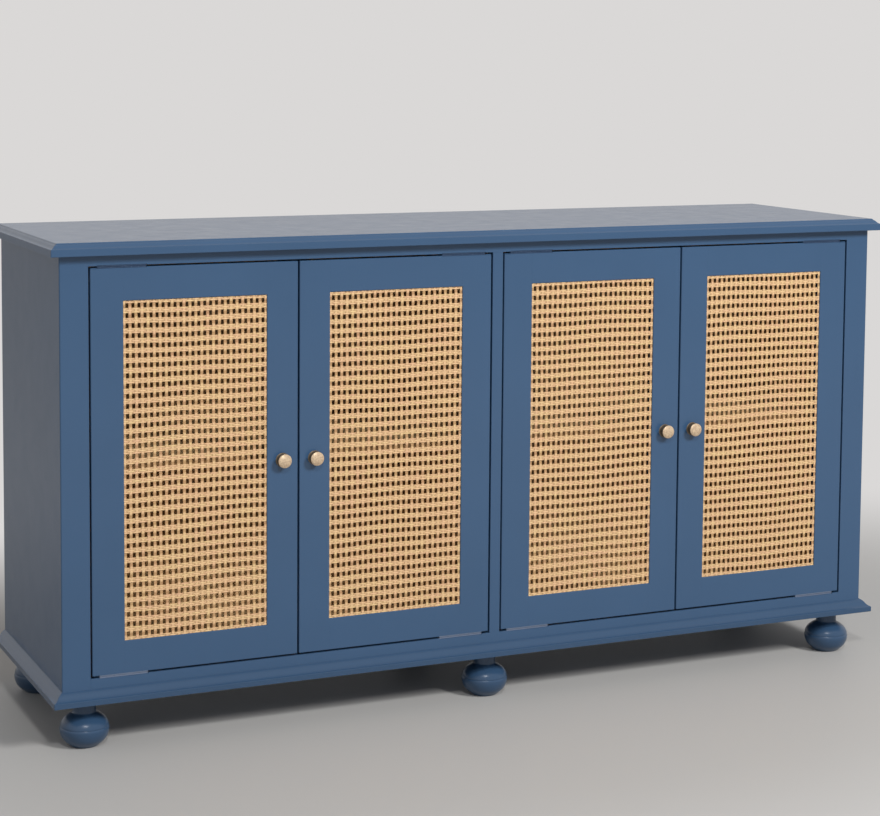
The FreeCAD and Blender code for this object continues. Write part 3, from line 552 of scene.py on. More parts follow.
class CABINET_OT_stage(bpy.types.Operator):
    """Lay the pale floor, light the cabinet and set the camera"""

    bl_idname = "cabinet.stage"
    bl_label = "Stage"

    def execute(self, context):
        look = context.scene.cabinet_stage
        context.scene.view_settings.view_transform = "Standard"
        self.floor(look)
        self.world(context, look)
        self.lamps(context, look)
        self.camera(context, look)
        return {"FINISHED"}

    def floor(self, look, radius=20000, hub=20):
        """A level disc. From 0.65 m to 1.6 m in front and behind, and from 1.05 m to 2.6 m at
        the sides, it fades into the backdrop's colour, so that they meet without a line."""
        ring = turned([(radius, -1), (radius, 0), (hub, 0)], (0, 0, 0), UP, 96)
        floor = bpy.data.objects.new("floor", build_mesh("floor", [ring]))
        bpy.context.scene.collection.objects.link(floor)
        material, add = new_finish("pale_floor")
        place = add("TexCoord").outputs["Object"]
        reach = add("VectorMath", {0: place, 1: (0.62, 1.0, 0.0)}, operation="MULTIPLY")
        reach = add("VectorMath", {0: reach}, operation="LENGTH")
        fade = add(
            "MapRange", {"Value": reach, "From Min": 0.65, "From Max": 1.6},
            interpolation_type="SMOOTHSTEP")
        path = add("LightPath").outputs
        seen = add(
            "Math", {0: path["Is Glossy Ray"], 1: 0.25, 2: path["Is Camera Ray"]},
            operation="MULTIPLY_ADD")
        share = add("Math", {0: fade, 1: seen}, operation="MULTIPLY")
        matt = add("BsdfPrincipled", {"Base Color": scaled(look.floor_colour), "Roughness": 0.6})
        far = add("Emission", {"Color": scaled(look.wall_colour)})
        both = add("MixShader", {0: share, 1: matt, 2: far})
        add("OutputMaterial", {"Surface": both})
        floor.data.materials.append(material)

    def world(self, context, look):
        """Even room light, and a plain backdrop for what the camera and the glossy finishes
        see."""
        world = bpy.data.worlds.new("room")
        context.scene.world = world
        world.use_nodes = True
        world.node_tree.nodes.clear()
        add = partial(add_node, world.node_tree)
        path = add("LightPath").outputs
        seen = add(
            "Math", {0: path["Is Camera Ray"], 1: path["Is Glossy Ray"]}, operation="MAXIMUM")
        seen = add("Math", {0: seen, 1: path["Is Transmission Ray"]}, operation="MAXIMUM")
        room = add("Background", {"Color": linear("F4F6FA"), "Strength": look.room_light})
        backdrop = add("Background", {"Color": scaled(look.wall_colour)})
        both = add("MixShader", {0: seen, 1: room, 2: backdrop})
        add("OutputWorld", {"Surface": both})

    def lamps(self, context, look):
        """A large soft key light high at the front right, a weak one at the left, and a small
        window over the camera. Only the window shows in the gloss."""
        fill_power = look.key_power * 0.045
        for name, spot, aim, size, power, is_mirrored in (
            ("key", (2.1, -4.4, 3.6), (0.0, -0.2, 0.45), 1.4, look.key_power, False),
            ("fill", (-3.2, -2.6, 1.6), (0.0, 0.0, 0.5), 2.0, fill_power, False),
            ("window", (-1.4, -4.6, 4.4), (0.0, -0.2, 0.3), 0.6, look.window_power, True),
        ):
            light = bpy.data.lights.new(name, "AREA")
            light.shape, light.size, light.energy = "DISK", size, power
            lamp = bpy.data.objects.new(name, light)
            context.scene.collection.objects.link(lamp)
            lamp.matrix_world = looking(spot, aim)
            lamp.visible_glossy = is_mirrored

    def camera(self, context, look):
        """The camera stands at the front left, a little above the top board, looking down
        slightly, with its lens shifted down."""
        data = bpy.data.cameras.new("camera")
        data.lens, data.sensor_width, data.sensor_fit = look.lens, 36.0, "HORIZONTAL"
        data.shift_x, data.shift_y = 0.0, -0.2
        data.clip_start, data.clip_end = 0.05, 100.0
        camera = bpy.data.objects.new("camera", data)
        context.scene.collection.objects.link(camera)
        right = (0.9118, -0.41057, 0.00769)
        up = (0.02782, 0.08043, 0.99637)
        back = (-0.4097, -0.90827, 0.08476)
        turn = np.eye(4)
        turn[:3, :3] = np.array([right, up, back]).T
        turn[:3, 3] = (-1.6551, -3.6177, 1.1778)
        camera.matrix_world = Matrix(turn.tolist())
        context.scene.camera = camera


def looking(spot, aim):
    """The place of a lamp at spot whose face is turned to aim: its back axis runs from aim to
    spot, and its right axis is level."""
    back = np.array(spot, float) - np.array(aim, float)
    back /= np.linalg.norm(back)
    right = np.cross((0, 0, 1), back)
    right /= np.linalg.norm(right)
    turn = np.eye(4)
    turn[:3, :3] = np.array([right, np.cross(back, right), back]).T
    turn[:3, 3] = spot
    return Matrix(turn.tolist())


# ------------------------------------------------------------------ carcass


def ogee(start, end, fullness=1.2, steps=8):
    """The S-curve of the moulding from start up to end, as two arcs that meet halfway: the
    lower one is hollow and the upper one full. Each point is the arc's centre plus its radius
    at an angle that runs evenly from one end of the arc to the other."""
    start, end = np.array(start, float), np.array(end, float)
    half = (end - start) / 2
    radius = fullness * (half @ half) / half[1]
    halves = []
    for foot, side in ((start, 1), (start + half, -1)):
        middle, chord = foot + half / 2, np.linalg.norm(half)
        normal = np.array([-half[1], half[0]]) / chord * side
        centre = middle + normal * math.sqrt(max(radius**2 - (chord / 2) ** 2, 0))
        first, last = foot - centre, foot + half - centre
        from_angle = math.atan2(first[1], first[0])
        sweep = math.atan2(last[1], last[0]) - from_angle
        sweep = (sweep + math.pi) % (2 * math.pi) - math.pi
        angle = from_angle + sweep * np.linspace(0, 1, steps)
        halves.append(centre + radius * np.stack([np.cos(angle), np.sin(angle)], 1))
    return np.concatenate([halves[0], halves[1][1:]])


def moulded_board(node, lip, run, crown, quirk=1.4, edge=0.9):
    """A moulded board as level rings, one for each point of its edge profile: the ring at a
    profile point is the board's outline drawn in by the profile's depth along the front and
    both ends, and not along the back."""
    low, high = span(node)
    turn, corner_radii, least_step = QUARTER_TURN, (1.2, 1.2, 0.4, 0.4), 0.05
    bottom, top = low[UP], high[UP]
    nose = np.stack([edge * (1 - np.sin(turn)), bottom + edge * (1 - np.cos(turn))], 1)
    brow = np.stack([edge * (1 - np.cos(turn)), bottom + lip - edge * (1 - np.sin(turn))], 1)
    curve = ogee((quirk, bottom + lip), (run - crown, top - crown))
    rim = np.stack([run - crown * np.cos(turn), top - crown * (1 - np.sin(turn))], 1)
    rings = np.concatenate([nose, brow, curve[curve[:, 0] > edge + least_step], rim[1:]])
    plans = []
    for depth in rings[:, 0]:
        left, right, front = low[ACROSS] + depth, high[ACROSS] - depth, low[DEEP] + depth
        plans.append(soften(rectangle(left, right, front, high[DEEP]), corner_radii))
    plans = np.stack(plans)
    level = np.broadcast_to(rings[:, 1][:, None, None], (*plans.shape[:2], 1))
    return np.concatenate([plans, level], axis=-1)[None]


class CABINET_OT_boards(bpy.types.Operator):
    """Shape the moulded top board and base board"""

    bl_idname = "cabinet.boards"
    bl_label = "Top and Base Boards"

    def execute(self, context):
        # the base board takes a darker copy of the lacquer, as painted shade for the less light
        # that reaches it low down
        lacquer, darker = satin_lacquer(), satin_lacquer("satin_blue_lacquer_shaded_base", 0.8)
        for node, finish, lip, run, crown in (
            ("top_board", lacquer, 12.8, 12.8, 2.0),
            ("base_board", darker, 10.0, 17.5, 0.8),
        ):
            board = moulded_board(node, lip, run, crown)
            add_piece(node + "_moulded", [board], finish, [node], is_board=True)
        return {"FINISHED"}


class CABINET_OT_face_frame(bpy.types.Operator):
    """Build the stiles and rails of the face frame with rounded arrises"""

    bl_idname = "cabinet.face_frame"
    bl_label = "Face Frame"

    def execute(self, context):
        lacquer = satin_lacquer()
        arris = context.scene.cabinet_sizes.arris / MM
        for part, lofts in (*self.stiles(arris), *self.rails()):
            add_piece(f"frame_{part}_eased", lofts, lacquer, [f"frame_{part}"], is_board=True)
        return {"FINISHED"}

    def stiles(self, arris, hair=0.3, joint=0.1):
        """The outer stiles, full height, and the centre stile between the rails."""
        left, right = span("frame_stile_left"), span("frame_stile_right")
        centre = np.array(span("frame_stile_centre"))
        centre[:, UP] = span("frame_bottom_rail")[1][UP], span("frame_top_rail")[0][UP]
        return (("stile_left", [block(*left, UP, (arris * 1.5, hair, hair, joint))]),
                ("stile_right", [block(*right, UP, (hair, arris * 1.5, joint, hair))]),
                ("stile_centre", [block(*centre, UP, hair)]))

    def rails(self, hair=0.3, joint=0.1):
        """The rails between the outer stiles. Each is a row of blocks, and a block that carries a
        pivot leaf is lower there by the depth of the leaf's recess."""
        inner = span("frame_stile_left")[1][ACROSS], span("frame_stile_right")[0][ACROSS]
        stops = sorted(stop for door in DOORS for stop in leaf_run(door)[1:])
        stops = [inner[0], *stops, inner[1]]
        leaf_low, leaf_high = span("pivot_leaves_frame")
        low, high = np.array(span("frame_bottom_rail"))
        top_low, top_high = np.array(span("frame_top_rail"))
        lower, upper = [], []
        for number, (start, stop) in enumerate(zip(stops[:-1], stops[1:])):
            has_leaf = number % 2 == 1
            floor = leaf_low[UP] if has_leaf else high[UP]
            ceiling = leaf_high[UP] if has_leaf else top_low[UP]
            lower.append(block(
                (start, low[DEEP], low[UP]), (stop, high[DEEP], floor), ACROSS,
                (joint, joint, hair, hair)))
            upper.append(block(
                (start, top_low[DEEP], ceiling), (stop, top_high[DEEP], top_high[UP]), ACROSS,
                (hair, hair, joint, joint)))
        return ("bottom_rail", lower), ("top_rail", upper)


def foot_profile():
    """The turned foot from the floor up, as (radius, height): a bun that swells from the floor
    to its rim, falls back to a shallow groove, and rounds over to a hollow under the neck."""
    under = through(
        [(22.8, 0.0), (23.8, 0.6), (29.3, 5.2), (34.0, 9.4), (37.6, 14.0), (40.1, 19.4),
         (41.5, 24.0), (42.0, 28.0), (41.9, 31.0), (41.2, 33.0), (40.7, 34.0)], 4)
    over = through(
        [(41.0, 34.7), (40.6, 37.2), (38.8, 41.8), (35.6, 46.2), (31.2, 50.2), (26.4, 53.4),
         (22.2, 55.8), (20.0, 58.2), (19.5, 61.5)], 4)
    floor, neck = [(0.4, 0.0)], [(19.5, 82.8), (0.4, 82.8)]
    return np.concatenate([floor, under, over, neck])


class CABINET_OT_feet(bpy.types.Operator):
    """Turn the six bun feet"""

    bl_idname = "cabinet.feet"
    bl_label = "Turned Feet"

    def execute(self, context):
        # painted shade: the feet take a darker copy of the lacquer, for the shade under the base
        # board
        lacquer = satin_lacquer("satin_blue_lacquer_shaded_feet", 0.74, 0.07)
        for node in ("feet_front", "feet_rear"):
            low, high = span(node)
            reach = (high[DEEP] - low[DEEP]) / 2
            deep = (low[DEEP] + high[DEEP]) / 2
            places = low[ACROSS] + reach, 0.0, high[ACROSS] - reach
            centres = [(place, deep, 0.0) for place in places]
            rings = turned(foot_profile(), centres, UP, 72)
            add_piece(node + "_turned", [rings], lacquer, [node])
        return {"FINISHED"}


# ------------------------------------------------------------------ doors


class CABINET_OT_door_frames(bpy.types.Operator):
    """Build the stiles and rails of the doors, with the rebate for the cane"""

    bl_idname = "cabinet.door_frames"
    bl_label = "Door Frames"

    def execute(self, context):
        lacquer = satin_lacquer()
        arris = context.scene.cabinet_sizes.arris / MM
        for door in DOORS:
            for part, lofts in (*self.stiles(door, arris), *self.rails(door, arris)):
                node = f"door_{door}_{part}"
                add_piece(node + "_eased", lofts, lacquer, [node], is_board=True)
        return {"FINISHED"}

    def levels(self, door):
        """The levels of a door from its foot up: its foot, the top of the recess there, the foot
        of the rebate, the sill and head of the opening, the head of the rebate, the foot of the
        upper recess and its top."""
        leaf_low, leaf_high = span(f"door_{door}_knob_and_pivots")
        bead_low, bead_high = span(f"door_{door}_cane_beads")
        foot, sill = (level[UP] for level in span(f"door_{door}_bottom_rail"))
        head, top = (level[UP] for level in span(f"door_{door}_top_rail"))
        recesses = leaf_low[UP] + LEAF_THICKNESS, leaf_high[UP] - LEAF_THICKNESS
        return foot, recesses[0], bead_low[UP], sill, head, bead_high[UP], recesses[1], top

    def stiles(self, door, arris, hair=0.12, fine=0.6):
        """Both stiles, each as a stack of prisms. Beside the opening a stile is an L with the
        rebate for the cane cut out at the back. The hinge stile stops short of the pivot leaves
        at its very ends."""
        foot, low_recess, low_rebate, sill, head, high_rebate, high_recess, top = self.levels(door)
        cane_front = span(f"door_{door}_cane_panel")[0][DEEP]
        beads = span(f"door_{door}_cane_beads")
        hand, *leaf = leaf_run(door)
        stiles = []
        for part, inward in (("hinge_stile", hand), ("lock_stile", -hand)):
            (low, front, _), (high, back, _) = span(f"door_{door}_{part}")
            outer, inner = (low, high) if inward > 0 else (high, low)
            rebate = (beads[0] if inward > 0 else beads[1])[ACROSS]
            whole = rectangle(outer, inner, front, back)
            ell = [(outer, front), (inner, front), (inner, cane_front), (rebate, cane_front),
                   (rebate, back), (outer, back)]
            edges = (arris, hair, hair, fine)
            ell_edges = (arris, hair, hair, hair, fine, fine)
            open_edges = (arris, arris, hair, hair, fine, fine)
            stack = [prism(ell, ell_edges, low_rebate, sill, UP),
                     prism(ell, open_edges, sill, head, UP),
                     prism(ell, ell_edges, head, high_rebate, UP)]
            if part == "lock_stile":
                stack.append(prism(whole, edges, foot, low_rebate, UP, arris))
                stack.append(prism(whole, edges, high_rebate, top, UP, 0, arris))
            else:
                stop = leaf[0] if inward > 0 else leaf[1]
                short = rectangle(outer, stop, front, back)
                stack.append(prism(short, edges, foot, low_recess, UP, arris))
                stack.append(prism(whole, edges, low_recess, low_rebate, UP))
                stack.append(prism(whole, edges, high_rebate, high_recess, UP))
                stack.append(prism(short, edges, high_recess, top, UP, 0, arris))
            stiles.append((part, stack))
        return stiles

    def rails(self, door, arris, hair=0.12, fine=0.6):
        """Both rails between the stiles, each an L with the rebate at the back. The stretch that
        carries a pivot leaf is cut back by the depth of the leaf's recess."""
        foot, low_recess, low_rebate, sill, head, high_rebate, high_recess, top = self.levels(door)
        cane_front = span(f"door_{door}_cane_panel")[0][DEEP]
        front, back = (corner[DEEP] for corner in span(f"door_{door}_hinge_stile"))
        hand, *leaf = leaf_run(door)
        left, right = ("hinge", "lock") if hand > 0 else ("lock", "hinge")
        start = span(f"door_{door}_{left}_stile")[1][ACROSS]
        stop = span(f"door_{door}_{right}_stile")[0][ACROSS]
        leaf_end = leaf[1] if hand > 0 else leaf[0]
        runs = ((start, leaf_end, hand > 0), (leaf_end, stop, hand < 0))
        rails = []
        for part, edge, recess, inner, rebate in (
            ("bottom_rail", foot, low_recess, sill, low_rebate),
            ("top_rail", top, high_recess, head, high_rebate),
        ):
            stretches = []
            for low, high, has_leaf in runs:
                outer = recess if has_leaf else edge
                ell = [(front, outer), (front, inner), (cane_front, inner), (cane_front, rebate),
                       (back, rebate), (back, outer)]
                edges = (hair if has_leaf else arris, arris, hair, hair, fine, fine)
                stretches.append(prism(ell, edges, low, high, ACROSS))
            rails.append((part, stretches))
        return rails


def woven_panel(door, sizes):
    """The cane webbing of a door: pairs of upright strands, and bands of level strands that pass
    over and under them in turn. A strand runs at plus or minus half of its thickness from the
    panel's middle plane, with the sign of (-1) to the power of its number plus the number of
    the strand it crosses, and passes through the plane between crossings. The whole weave is
    then swayed by slow waves that die out at its edges."""
    low, high = span(f"door_{door}_cane_panel")
    centre = (low + high) / 2
    reach = (high - low) / 2
    wide, tall = sizes.strand_width / MM, sizes.band_height / MM
    pitch, rise = sizes.strand_pitch / MM, sizes.band_pitch / MM
    count = sizes.strands_per_band
    strand_count, band_count, tone_range, margin = 25, 35, 20, 0.2
    # shares: a strand's depth of the panel's, half of the flat stretch over a pair of its width,
    # and half of a level strand and half of the flat stretch under it of the strands' spacing
    depth_share, flat_share, strand_share, near_share = 0.94, 0.40, 0.485, 0.30
    thick = reach[1] * depth_share
    lift = reach[1] - thick / 2
    columns = np.arange(strand_count) - strand_count // 2
    rows = np.arange(band_count) - band_count // 2
    level = tall / count
    inside = (np.arange(count) - (count - 1) / 2) * level
    rng = np.random.default_rng(40 + door)

    # level strands: flat over each pair of uprights, and crossing the plane between two pairs
    half = wide * flat_share
    stops = np.array([-half, half, pitch / 2])
    across = (columns[:, None] * pitch + stops[None]).ravel()[:-1]
    sign = ((-1.0) ** columns[:, None] * np.array([1.0, 1.0, 0.0])).ravel()[:-1]
    across = np.concatenate([[-reach[0] + margin], across, [reach[0] - margin]])
    sign = np.concatenate([[0.0], sign, [0.0]])
    number = (rows[:, None] * count + np.arange(count)[None]).ravel()
    height = (rows[:, None] * rise + inside[None]).ravel()
    section = np.array([(-1, 0.0), (-0.55, -0.46), (0.0, -0.52), (0.55, -0.46), (1, 0.0), (0, 0.5)])
    z = height[:, None, None] + section[None, None, :, 0] * level * strand_share
    # -1 on the lowest strand of a band and 1 on its highest, whose edges face the holes
    border = np.zeros(count, int)
    border[0] -= 1
    border[-1] += 1
    border = np.tile(border, len(rows))
    # painted shade: the edges of a band that face the holes are drawn darker
    lip = np.clip(section[None, None, :, 0] * border[:, None, None], 0, 1)
    x = np.broadcast_to(across[None, :, None], (len(height), len(across), 6))
    over = (-1.0) ** number[:, None] * sign[None]
    y = -over[..., None] * lift + section[None, None, :, 1] * thick
    z = np.broadcast_to(z, x.shape)
    y = np.broadcast_to(y, x.shape)
    tone = rng.random(len(height))[:, None, None] * tone_range
    strands = [weave_loft(
        x, y, z, x, z - height[:, None, None], tone, over[..., None], section, 1 - 0.55 * lip**2)]

    # upright pairs: their section is two low crowns side by side
    near = level * near_share
    marks = np.stack([inside - near, inside + near], 1).ravel()
    steps = np.concatenate([marks, [rise / 2]])
    upward = (rows[:, None] * rise + steps[None]).ravel()[:-1]
    turns = np.repeat(np.arange(count), 2)
    signs = (-1.0) ** (rows[:, None] * count + np.concatenate([turns, [0]])[None])
    signs = (signs * np.concatenate([np.ones(2 * count), [0.0]])).ravel()[:-1]
    upward = np.concatenate([[-reach[2] + margin], upward, [reach[2] - margin]])
    signs = np.concatenate([[0.0], signs, [0.0]])
    pair = np.array([(-1, 0.0), (-0.52, -0.5), (0.0, -0.16), (0.52, -0.5), (1, 0.0), (0, 0.5)])
    middle = columns * pitch
    x = middle[:, None, None] + pair[None, None, :, 0] * wide / 2
    z = np.broadcast_to(upward[None, :, None], (len(middle), len(upward), 6))
    x = np.broadcast_to(x, z.shape)
    under = (-1.0) ** columns[:, None] * signs[None]
    y = under[..., None] * lift + pair[None, None, :, 1] * thick
    y = np.broadcast_to(y, z.shape)
    tone = rng.random(len(middle))[:, None, None] * tone_range + 1.5 * tone_range
    # painted shade: between two bands an upright pair lies back, beside a hole, and is drawn darker
    # for the less light it catches
    hole_row_shade = np.where(signs == 0, 0.46, 0.92)[None, :, None]
    strands.append(weave_loft(
        x, y, z, z, x - middle[:, None, None], tone, -under[..., None], pair, hole_row_shade))
    for loft in strands:
        rings = loft["rings"]
        rings[..., [0, 2]] += sway(rings, reach, sizes.sway / MM, door)
        rings += centre
    return strands


def weave_loft(x, y, z, along, across, tone, over, section, hole_shade):
    """Strands as a loft, with their strand coordinates and their painted shade kept on the points.
    The shade is 1 on a face that lies over, and is painted darker where the strand dives under, at
    its edges, on its back and, by the given hole shade, beside the holes."""
    along, across, tone = np.broadcast_arrays(along * MM, across * MM, tone)
    # painted shade: strands are drawn darker at their edges and on their backs
    edge = 1 - np.abs(section[:, 0]) ** 3 * 0.35
    face = np.where(section[:, 1] > 0.3, 0.8, 1.0) * edge
    shade = np.broadcast_to((0.80 + 0.20 * over) * face[None, None] * hole_shade, x.shape)
    return {"rings": np.stack([x, y, z], axis=-1).astype(float),
            "attributes": {"strand": np.stack([along, across, tone], axis=-1), "shade": shade}}


def sway(rings, reach, amount, door):
    """How far the weave's points move across and up: sums of slow sine waves of both places,
    times a window that falls to nothing at the panel's edges. Each door has its own phase."""
    u, v = rings[..., 0] / reach[0], rings[..., 2] / reach[2]
    window = np.clip((1 - np.abs(u)) * 9, 0, 1) * np.clip((1 - np.abs(v)) * 16, 0, 1)
    p = door * 1.7
    up = (
        0.55 * np.sin(2.6 * u + 3.1 * v + p)
        + 0.30 * np.sin(5.3 * u - 4.4 * v + 2 * p)
        + 0.25 * np.sin(1.3 * u + 17 * v + 3 * p)
    )
    side = 0.22 * np.sin(1.9 * u + 6.3 * v + 4 * p) + 0.10 * np.sin(9 * v + p)
    return np.stack([side, up], axis=-1) * amount * window[..., None]


class CABINET_OT_cane(bpy.types.Operator):
    """Weave the cane panels of the doors"""

    bl_idname = "cabinet.cane"
    bl_label = "Cane Webbing"

    def execute(self, context):
        cane = natural_cane()
        for door in DOORS:
            strands = woven_panel(door, context.scene.cabinet_sizes)
            replaced = [f"door_{door}_cane_panel"]
            add_piece(f"door_{door}_cane_weave", strands, cane, replaced, sharp=80)
        return {"FINISHED"}


class CABINET_OT_beads(bpy.types.Operator):
    """Fit the mitred beads that hold the cane in its rebate"""

    bl_idname = "cabinet.beads"
    bl_label = "Cane Beads"

    def execute(self, context):
        lacquer = satin_lacquer()
        for door in DOORS:
            node = f"door_{door}_cane_beads"
            low, high = span(node)
            rings = self.mitred(low, high, BEAD_WIDTH)
            add_piece(node + "_moulded", rings, lacquer, [node])
        return {"FINISHED"}

    def mitred(self, low, high, width, wide_round=4.5, deep_round=5.5, mitre_gap=0.04):
        """Four quarter-round strips round the opening. A strip's section is carried from one
        mitre to the next, and each of its points stops short of the corner by its own distance
        in from the rebate, which cuts the ends at 45 degrees."""
        deep = high[DEEP] - low[DEEP]
        turn = np.linspace(0, math.pi / 2, 6)
        out = width - wide_round + wide_round * np.sin(turn)
        back = deep - deep_round + deep_round * np.cos(turn)
        curve = np.stack([out, back], 1)
        section = np.concatenate([[(0.1, 0.0), (0.1, deep)], curve, [(width, 0.0)]])
        inward, behind = section[:, 0], section[:, 1] + low[DEEP]
        centre = (low + high) / 2
        half = (high - low) / 2
        strips = []
        for axis, sign in ((ACROSS, -1), (ACROSS, 1), (UP, -1), (UP, 1)):
            other = UP if axis == ACROSS else ACROSS
            run = half[other] - inward - mitre_gap
            rings = np.zeros((1, 2, len(section), 3))
            rings[..., axis] = centre[axis] + sign * (half[axis] - inward)
            rings[..., DEEP] = behind
            rings[0, 0, :, other] = centre[other] - run
            rings[0, 1, :, other] = centre[other] + run
            strips.append(rings)
        return strips


def knob_profile():
    """The knob as (radius, distance from the door): a bevelled rose, a waisted neck, and a head
    that flares out to a rounded rim and a low dome."""
    rose = [(0.3, 0.0), (12.3, 0.0), (12.6, 0.3), (12.2, 0.8), (10.6, 1.4), (8.6, 1.9)]
    neck = through(
        [(8.6, 1.9), (7.0, 2.5), (6.2, 3.7), (6.1, 5.4), (6.5, 7.4), (7.5, 9.3), (9.1, 11.0),
         (10.9, 12.3), (11.9, 12.9)], 3)[1:]
    head = through(
        [(11.9, 12.9), (12.2, 13.5), (12.0, 14.2), (11.2, 14.9), (9.8, 15.7), (7.9, 16.5),
         (5.4, 17.3), (2.8, 17.8), (0.25, 18.0)], 3)[1:]
    return np.concatenate([rose, neck, head])


class CABINET_OT_knobs(bpy.types.Operator):
    """Turn the brass knobs"""

    bl_idname = "cabinet.knobs"
    bl_label = "Knobs"

    def execute(self, context):
        brass = antiqued_brass()
        profile = knob_profile()
        radius, out = profile.T
        # the head's face and the rose's rim are rubbed pale, and the neck stays dark
        face_start, face_depth, rose_depth, neck_reach = 12.4, 1.6, 1.5, 10
        on_face = np.clip((out - face_start) / face_depth, 0, 1)
        on_rim = np.clip(1 - out / rose_depth, 0, 1) * (radius > neck_reach)
        wear = 0.95 * on_face + 0.25 * on_rim
        for door in DOORS:
            low, high = span(f"door_{door}_lock_stile")
            middle = (low + high) / 2
            spot = (middle[ACROSS], low[DEEP], middle[UP])
            rings = turned(profile, spot, DEEP, 40, -1)
            kept = {"wear": np.broadcast_to(wear[None, :, None], rings.shape[:3])}
            loft = {"rings": rings, "attributes": kept}
            replaced = [f"door_{door}_knob_and_pivots"]
            add_piece(f"door_{door}_knob", [loft], brass, replaced, sharp=50)
        return {"FINISHED"}


# ------------------------------------------------------------------ hinges and catches


def screw_head(radius, centres, axis, facing, around=20):
    """Raised countersunk screw heads. The head's height over the plate falls with the square of
    the radius, and the cross recess lowers it where a point is near one arm of the cross."""
    reach = np.array([0.02, 0.16, 0.3, 0.42, 0.52, 0.62, 0.8, 1.0])
    angle = np.arange(around) / around * 2 * math.pi
    first, second = reach[:, None] * np.cos(angle), reach[:, None] * np.sin(angle)
    arm = np.minimum(np.abs(first), np.abs(second))
    length = np.maximum(np.abs(first), np.abs(second))
    # as shares of the head's radius: half of an arm's width, how far it reaches, the slopes at
    # its sides and end, how high the head's crown is and how deep the cross
    arm_half, arm_reach, side_slope, end_slope, crown, cross = 0.2, 0.62, 0.1, 0.12, 0.16, 0.22
    recess = np.clip((arm_half - arm) / side_slope, 0, 1)
    recess = recess * np.clip((arm_reach - length) / end_slope, 0, 1)
    height = radius * (crown * (1 - reach[:, None] ** 2) - cross * recess) + 0.05
    first, second = first * radius, second * radius
    # the skirt runs down and in from the rim, and ends inside the plate
    skirt_in, skirt_down = 0.7, 0.35
    first = np.concatenate([first, first[-1:] * skirt_in])
    second = np.concatenate([second, second[-1:] * skirt_in])
    height = np.concatenate([height, np.full((1, around), -skirt_down * radius)])
    return set_round(centres, axis, height * facing, first, second)


class CABINET_OT_pivots(bpy.types.Operator):
    """Fit the pivot leaves in the edges of the doors and on the frame"""

    bl_idname = "cabinet.pivots"
    bl_label = "Pivot Hinges"

    def execute(self, context):
        # the upper leaves are drawn in a dark steel, as painted shade in the gap under the top
        # board
        steel, painted = zinc_plated_steel(), shaded_leaf_steel()
        frame_low, frame_high = span("pivot_leaves_frame")
        depth = frame_low[DEEP], frame_high[DEEP]
        fixed = {"low": [], "high": []}
        head_radius, head_sink = 3.1, 0.28
        for door in DOORS:
            low, high = span(f"door_{door}_knob_and_pivots")
            line = pivot_line(door)
            hand, *ends = leaf_run(door)
            near = ends[0] if hand > 0 else ends[1]
            holes = [near + hand * reach for reach in SCREW_PLACES]
            for end, finish, bottom, seat, facing in (
                ("low", steel, low[UP], frame_low[UP], 1),
                ("high", painted, high[UP] - LEAF_THICKNESS, frame_high[UP] - LEAF_THICKNESS, -1),
            ):
                leaf = self.leaf(ends, depth, bottom)
                replaced = [f"door_{door}_knob_and_pivots"]
                add_piece(f"door_{door}_pivot_leaf_{end}", [leaf], finish, replaced)
                face = seat + LEAF_THICKNESS if facing > 0 else seat
                spots = [(x, line[1], face - head_sink * facing) for x in holes]
                fixed[end] += [self.leaf(ends, depth, seat),
                               screw_head(head_radius, spots, UP, facing),
                               turned(self.pin(), (*line, face), UP, 24, facing)]
        for end, finish in (("low", steel), ("high", painted)):
            add_piece(f"frame_pivot_leaves_{end}", fixed[end], finish, ["pivot_leaves_frame"])
        return {"FINISHED"}

    def pin(self):
        """The pivot's profile, as (radius, height over the leaf), with a chamfered end."""
        return [(0.3, 0.0), (2.9, 0.0), (3.0, 0.2), (3.0, 2.2), (2.6, 2.8), (0.3, 2.9)]

    def leaf(self, ends, depth, bottom):
        """A flat leaf with round corners in plan and an eased rim above and below."""
        return prism(rectangle(*ends, *depth), 1.5, bottom, bottom + LEAF_THICKNESS, UP, 0.25, 0.25)


class CABINET_OT_catches(bpy.types.Operator):
    """Fit the magnetic catches and their strike plates"""

    bl_idname = "cabinet.catches"
    bl_label = "Magnetic Catches"

    def execute(self, context):
        plastic, steel = moulded_plastic(), zinc_plated_steel()
        low, high = span("magnetic_catches")
        housings, plates = [], []
        half = CATCH_LENGTH / 2
        tab_up, tab_thickness, pole_size = 10.0, 3.0, np.array([9.2, 1.4, 10.0])
        strike_half, strike_foot, strike_head = 9.0, 1.5, 14.5
        for side in (-1, 1):
            left, right = side * CATCH_PLACE - half, side * CATCH_PLACE + half
            body_low = np.array([left, low[1] + 0.6, low[2]])
            body_high = np.array([right, high[1], low[2] + 16.0])
            housings.append(block(body_low, body_high, DEEP, 1.6, 0.5, 0.5))
            tab_low = np.array([left, high[1] - tab_thickness, low[2] + tab_up])
            housings.append(block(tab_low, (right, high[1], high[2]), DEEP, 1.0, 0.3, 0.3))
            for pole in POLE_PLACES:
                across = side * CATCH_PLACE + pole - pole_size[0] / 2
                face = np.array([across, low[1], low[2] + 3.0])
                plates.append(block(face, face + pole_size, DEEP, 0.7, 0.2, 0.2))
        add_piece("catch_housings", housings, plastic, ["magnetic_catches"])
        add_piece("catch_poles", plates, steel)
        for door in DOORS:
            back = span(f"door_{door}_lock_stile")[1][DEEP]
            side = 1 if door > 2 else -1
            # a strike covers the pair of poles on its own door's side
            across = side * CATCH_PLACE + (-1 if door in (1, 3) else 1) * half / 2
            strike_low = (across - strike_half, back - 0.4, low[2] + strike_foot)
            strike_high = (across + strike_half, back + 0.22, low[2] + strike_head)
            strike = block(strike_low, strike_high, DEEP, 2.0, 0.05, 0.05)
            add_piece(f"door_{door}_strike", [strike], steel)
        return {"FINISHED"}


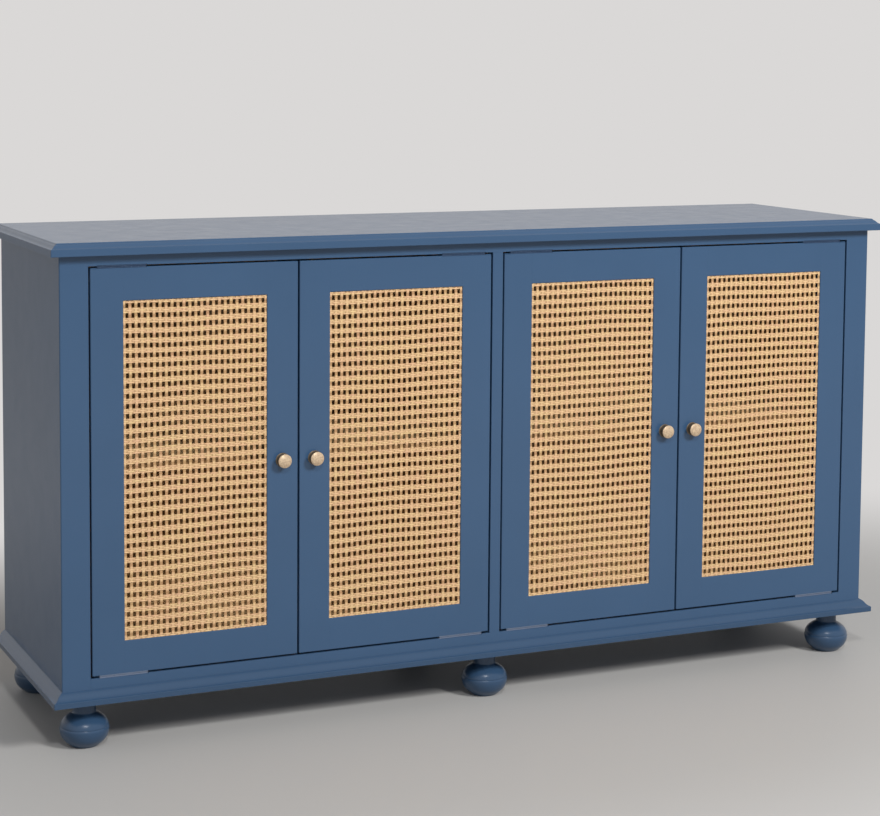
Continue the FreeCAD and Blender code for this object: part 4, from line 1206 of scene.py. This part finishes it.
class CABINET_OT_panels(bpy.types.Operator):
    """Finish the panels, partition, shelves and battens that keep their CAD shape"""

    bl_idname = "cabinet.panels"
    bl_label = "Panels and Shelves"

    def execute(self, context):
        bare_to = span("side_right")[0][ACROSS] + 0.5
        sides = satin_lacquer("satin_blue_lacquer_outside", bare_to=bare_to)
        level = varnished_wood("varnished_pine_along", ACROSS)
        forward = varnished_wood("varnished_pine_forward", DEEP)
        upright = varnished_wood("varnished_pine_upright", UP)
        lipped_to = span("shelf_left")[0][DEEP] + 0.5
        lipped = varnished_wood("varnished_pine_lipped", ACROSS, lipped_to)
        for finish, nodes in (
            (sides, ("side_left", "side_right")),
            (level, ("floor_panel",)),
            (lipped, ("shelf_left", "shelf_right")),
            (forward, ("shelf_battens",)),
            (upright, ("centre_partition", "back_panel")),
        ):
            for node in nodes:
                mesh = frame["nodes"][node].data
                mesh.materials.clear()
                mesh.materials.append(finish)
        return {"FINISHED"}


# ------------------------------------------------------------------ add-on


STEPS = (CABINET_OT_stage, CABINET_OT_boards, CABINET_OT_face_frame, CABINET_OT_panels,
         CABINET_OT_feet, CABINET_OT_door_frames, CABINET_OT_cane, CABINET_OT_beads,
         CABINET_OT_knobs, CABINET_OT_pivots, CABINET_OT_catches)


class CABINET_PT_panel(bpy.types.Panel):
    """Sizes, colours and steps of the cabinet"""

    bl_idname = "CABINET_PT_panel"
    bl_label = "Record Cabinet"
    bl_space_type = "VIEW_3D"
    bl_region_type = "UI"
    bl_category = "Cabinet"

    def draw(self, context):
        scene = context.scene
        for group in (scene.cabinet_finishes, scene.cabinet_sizes, scene.cabinet_stage):
            box = self.layout.box()
            for name in group.bl_rna.properties.keys():
                if name not in ("rna_type", "name"):
                    box.prop(group, name)
        for step in STEPS:
            self.layout.operator(step.bl_idname)


CLASSES = (CabinetFinishes, CabinetSizes, CabinetStage, *STEPS, CABINET_PT_panel)


def register():
    for part in CLASSES:
        bpy.utils.register_class(part)
    bpy.types.Scene.cabinet_finishes = PointerProperty(type=CabinetFinishes)
    bpy.types.Scene.cabinet_sizes = PointerProperty(type=CabinetSizes)
    bpy.types.Scene.cabinet_stage = PointerProperty(type=CabinetStage)


def unregister():
    del bpy.types.Scene.cabinet_stage
    del bpy.types.Scene.cabinet_sizes
    del bpy.types.Scene.cabinet_finishes
    for part in reversed(CLASSES):
        bpy.utils.unregister_class(part)


def main():
    register()
    for step in STEPS:
        group, name = step.bl_idname.split(".")
        getattr(getattr(bpy.ops, group), name)()


if __name__ == "__main__":
    main()
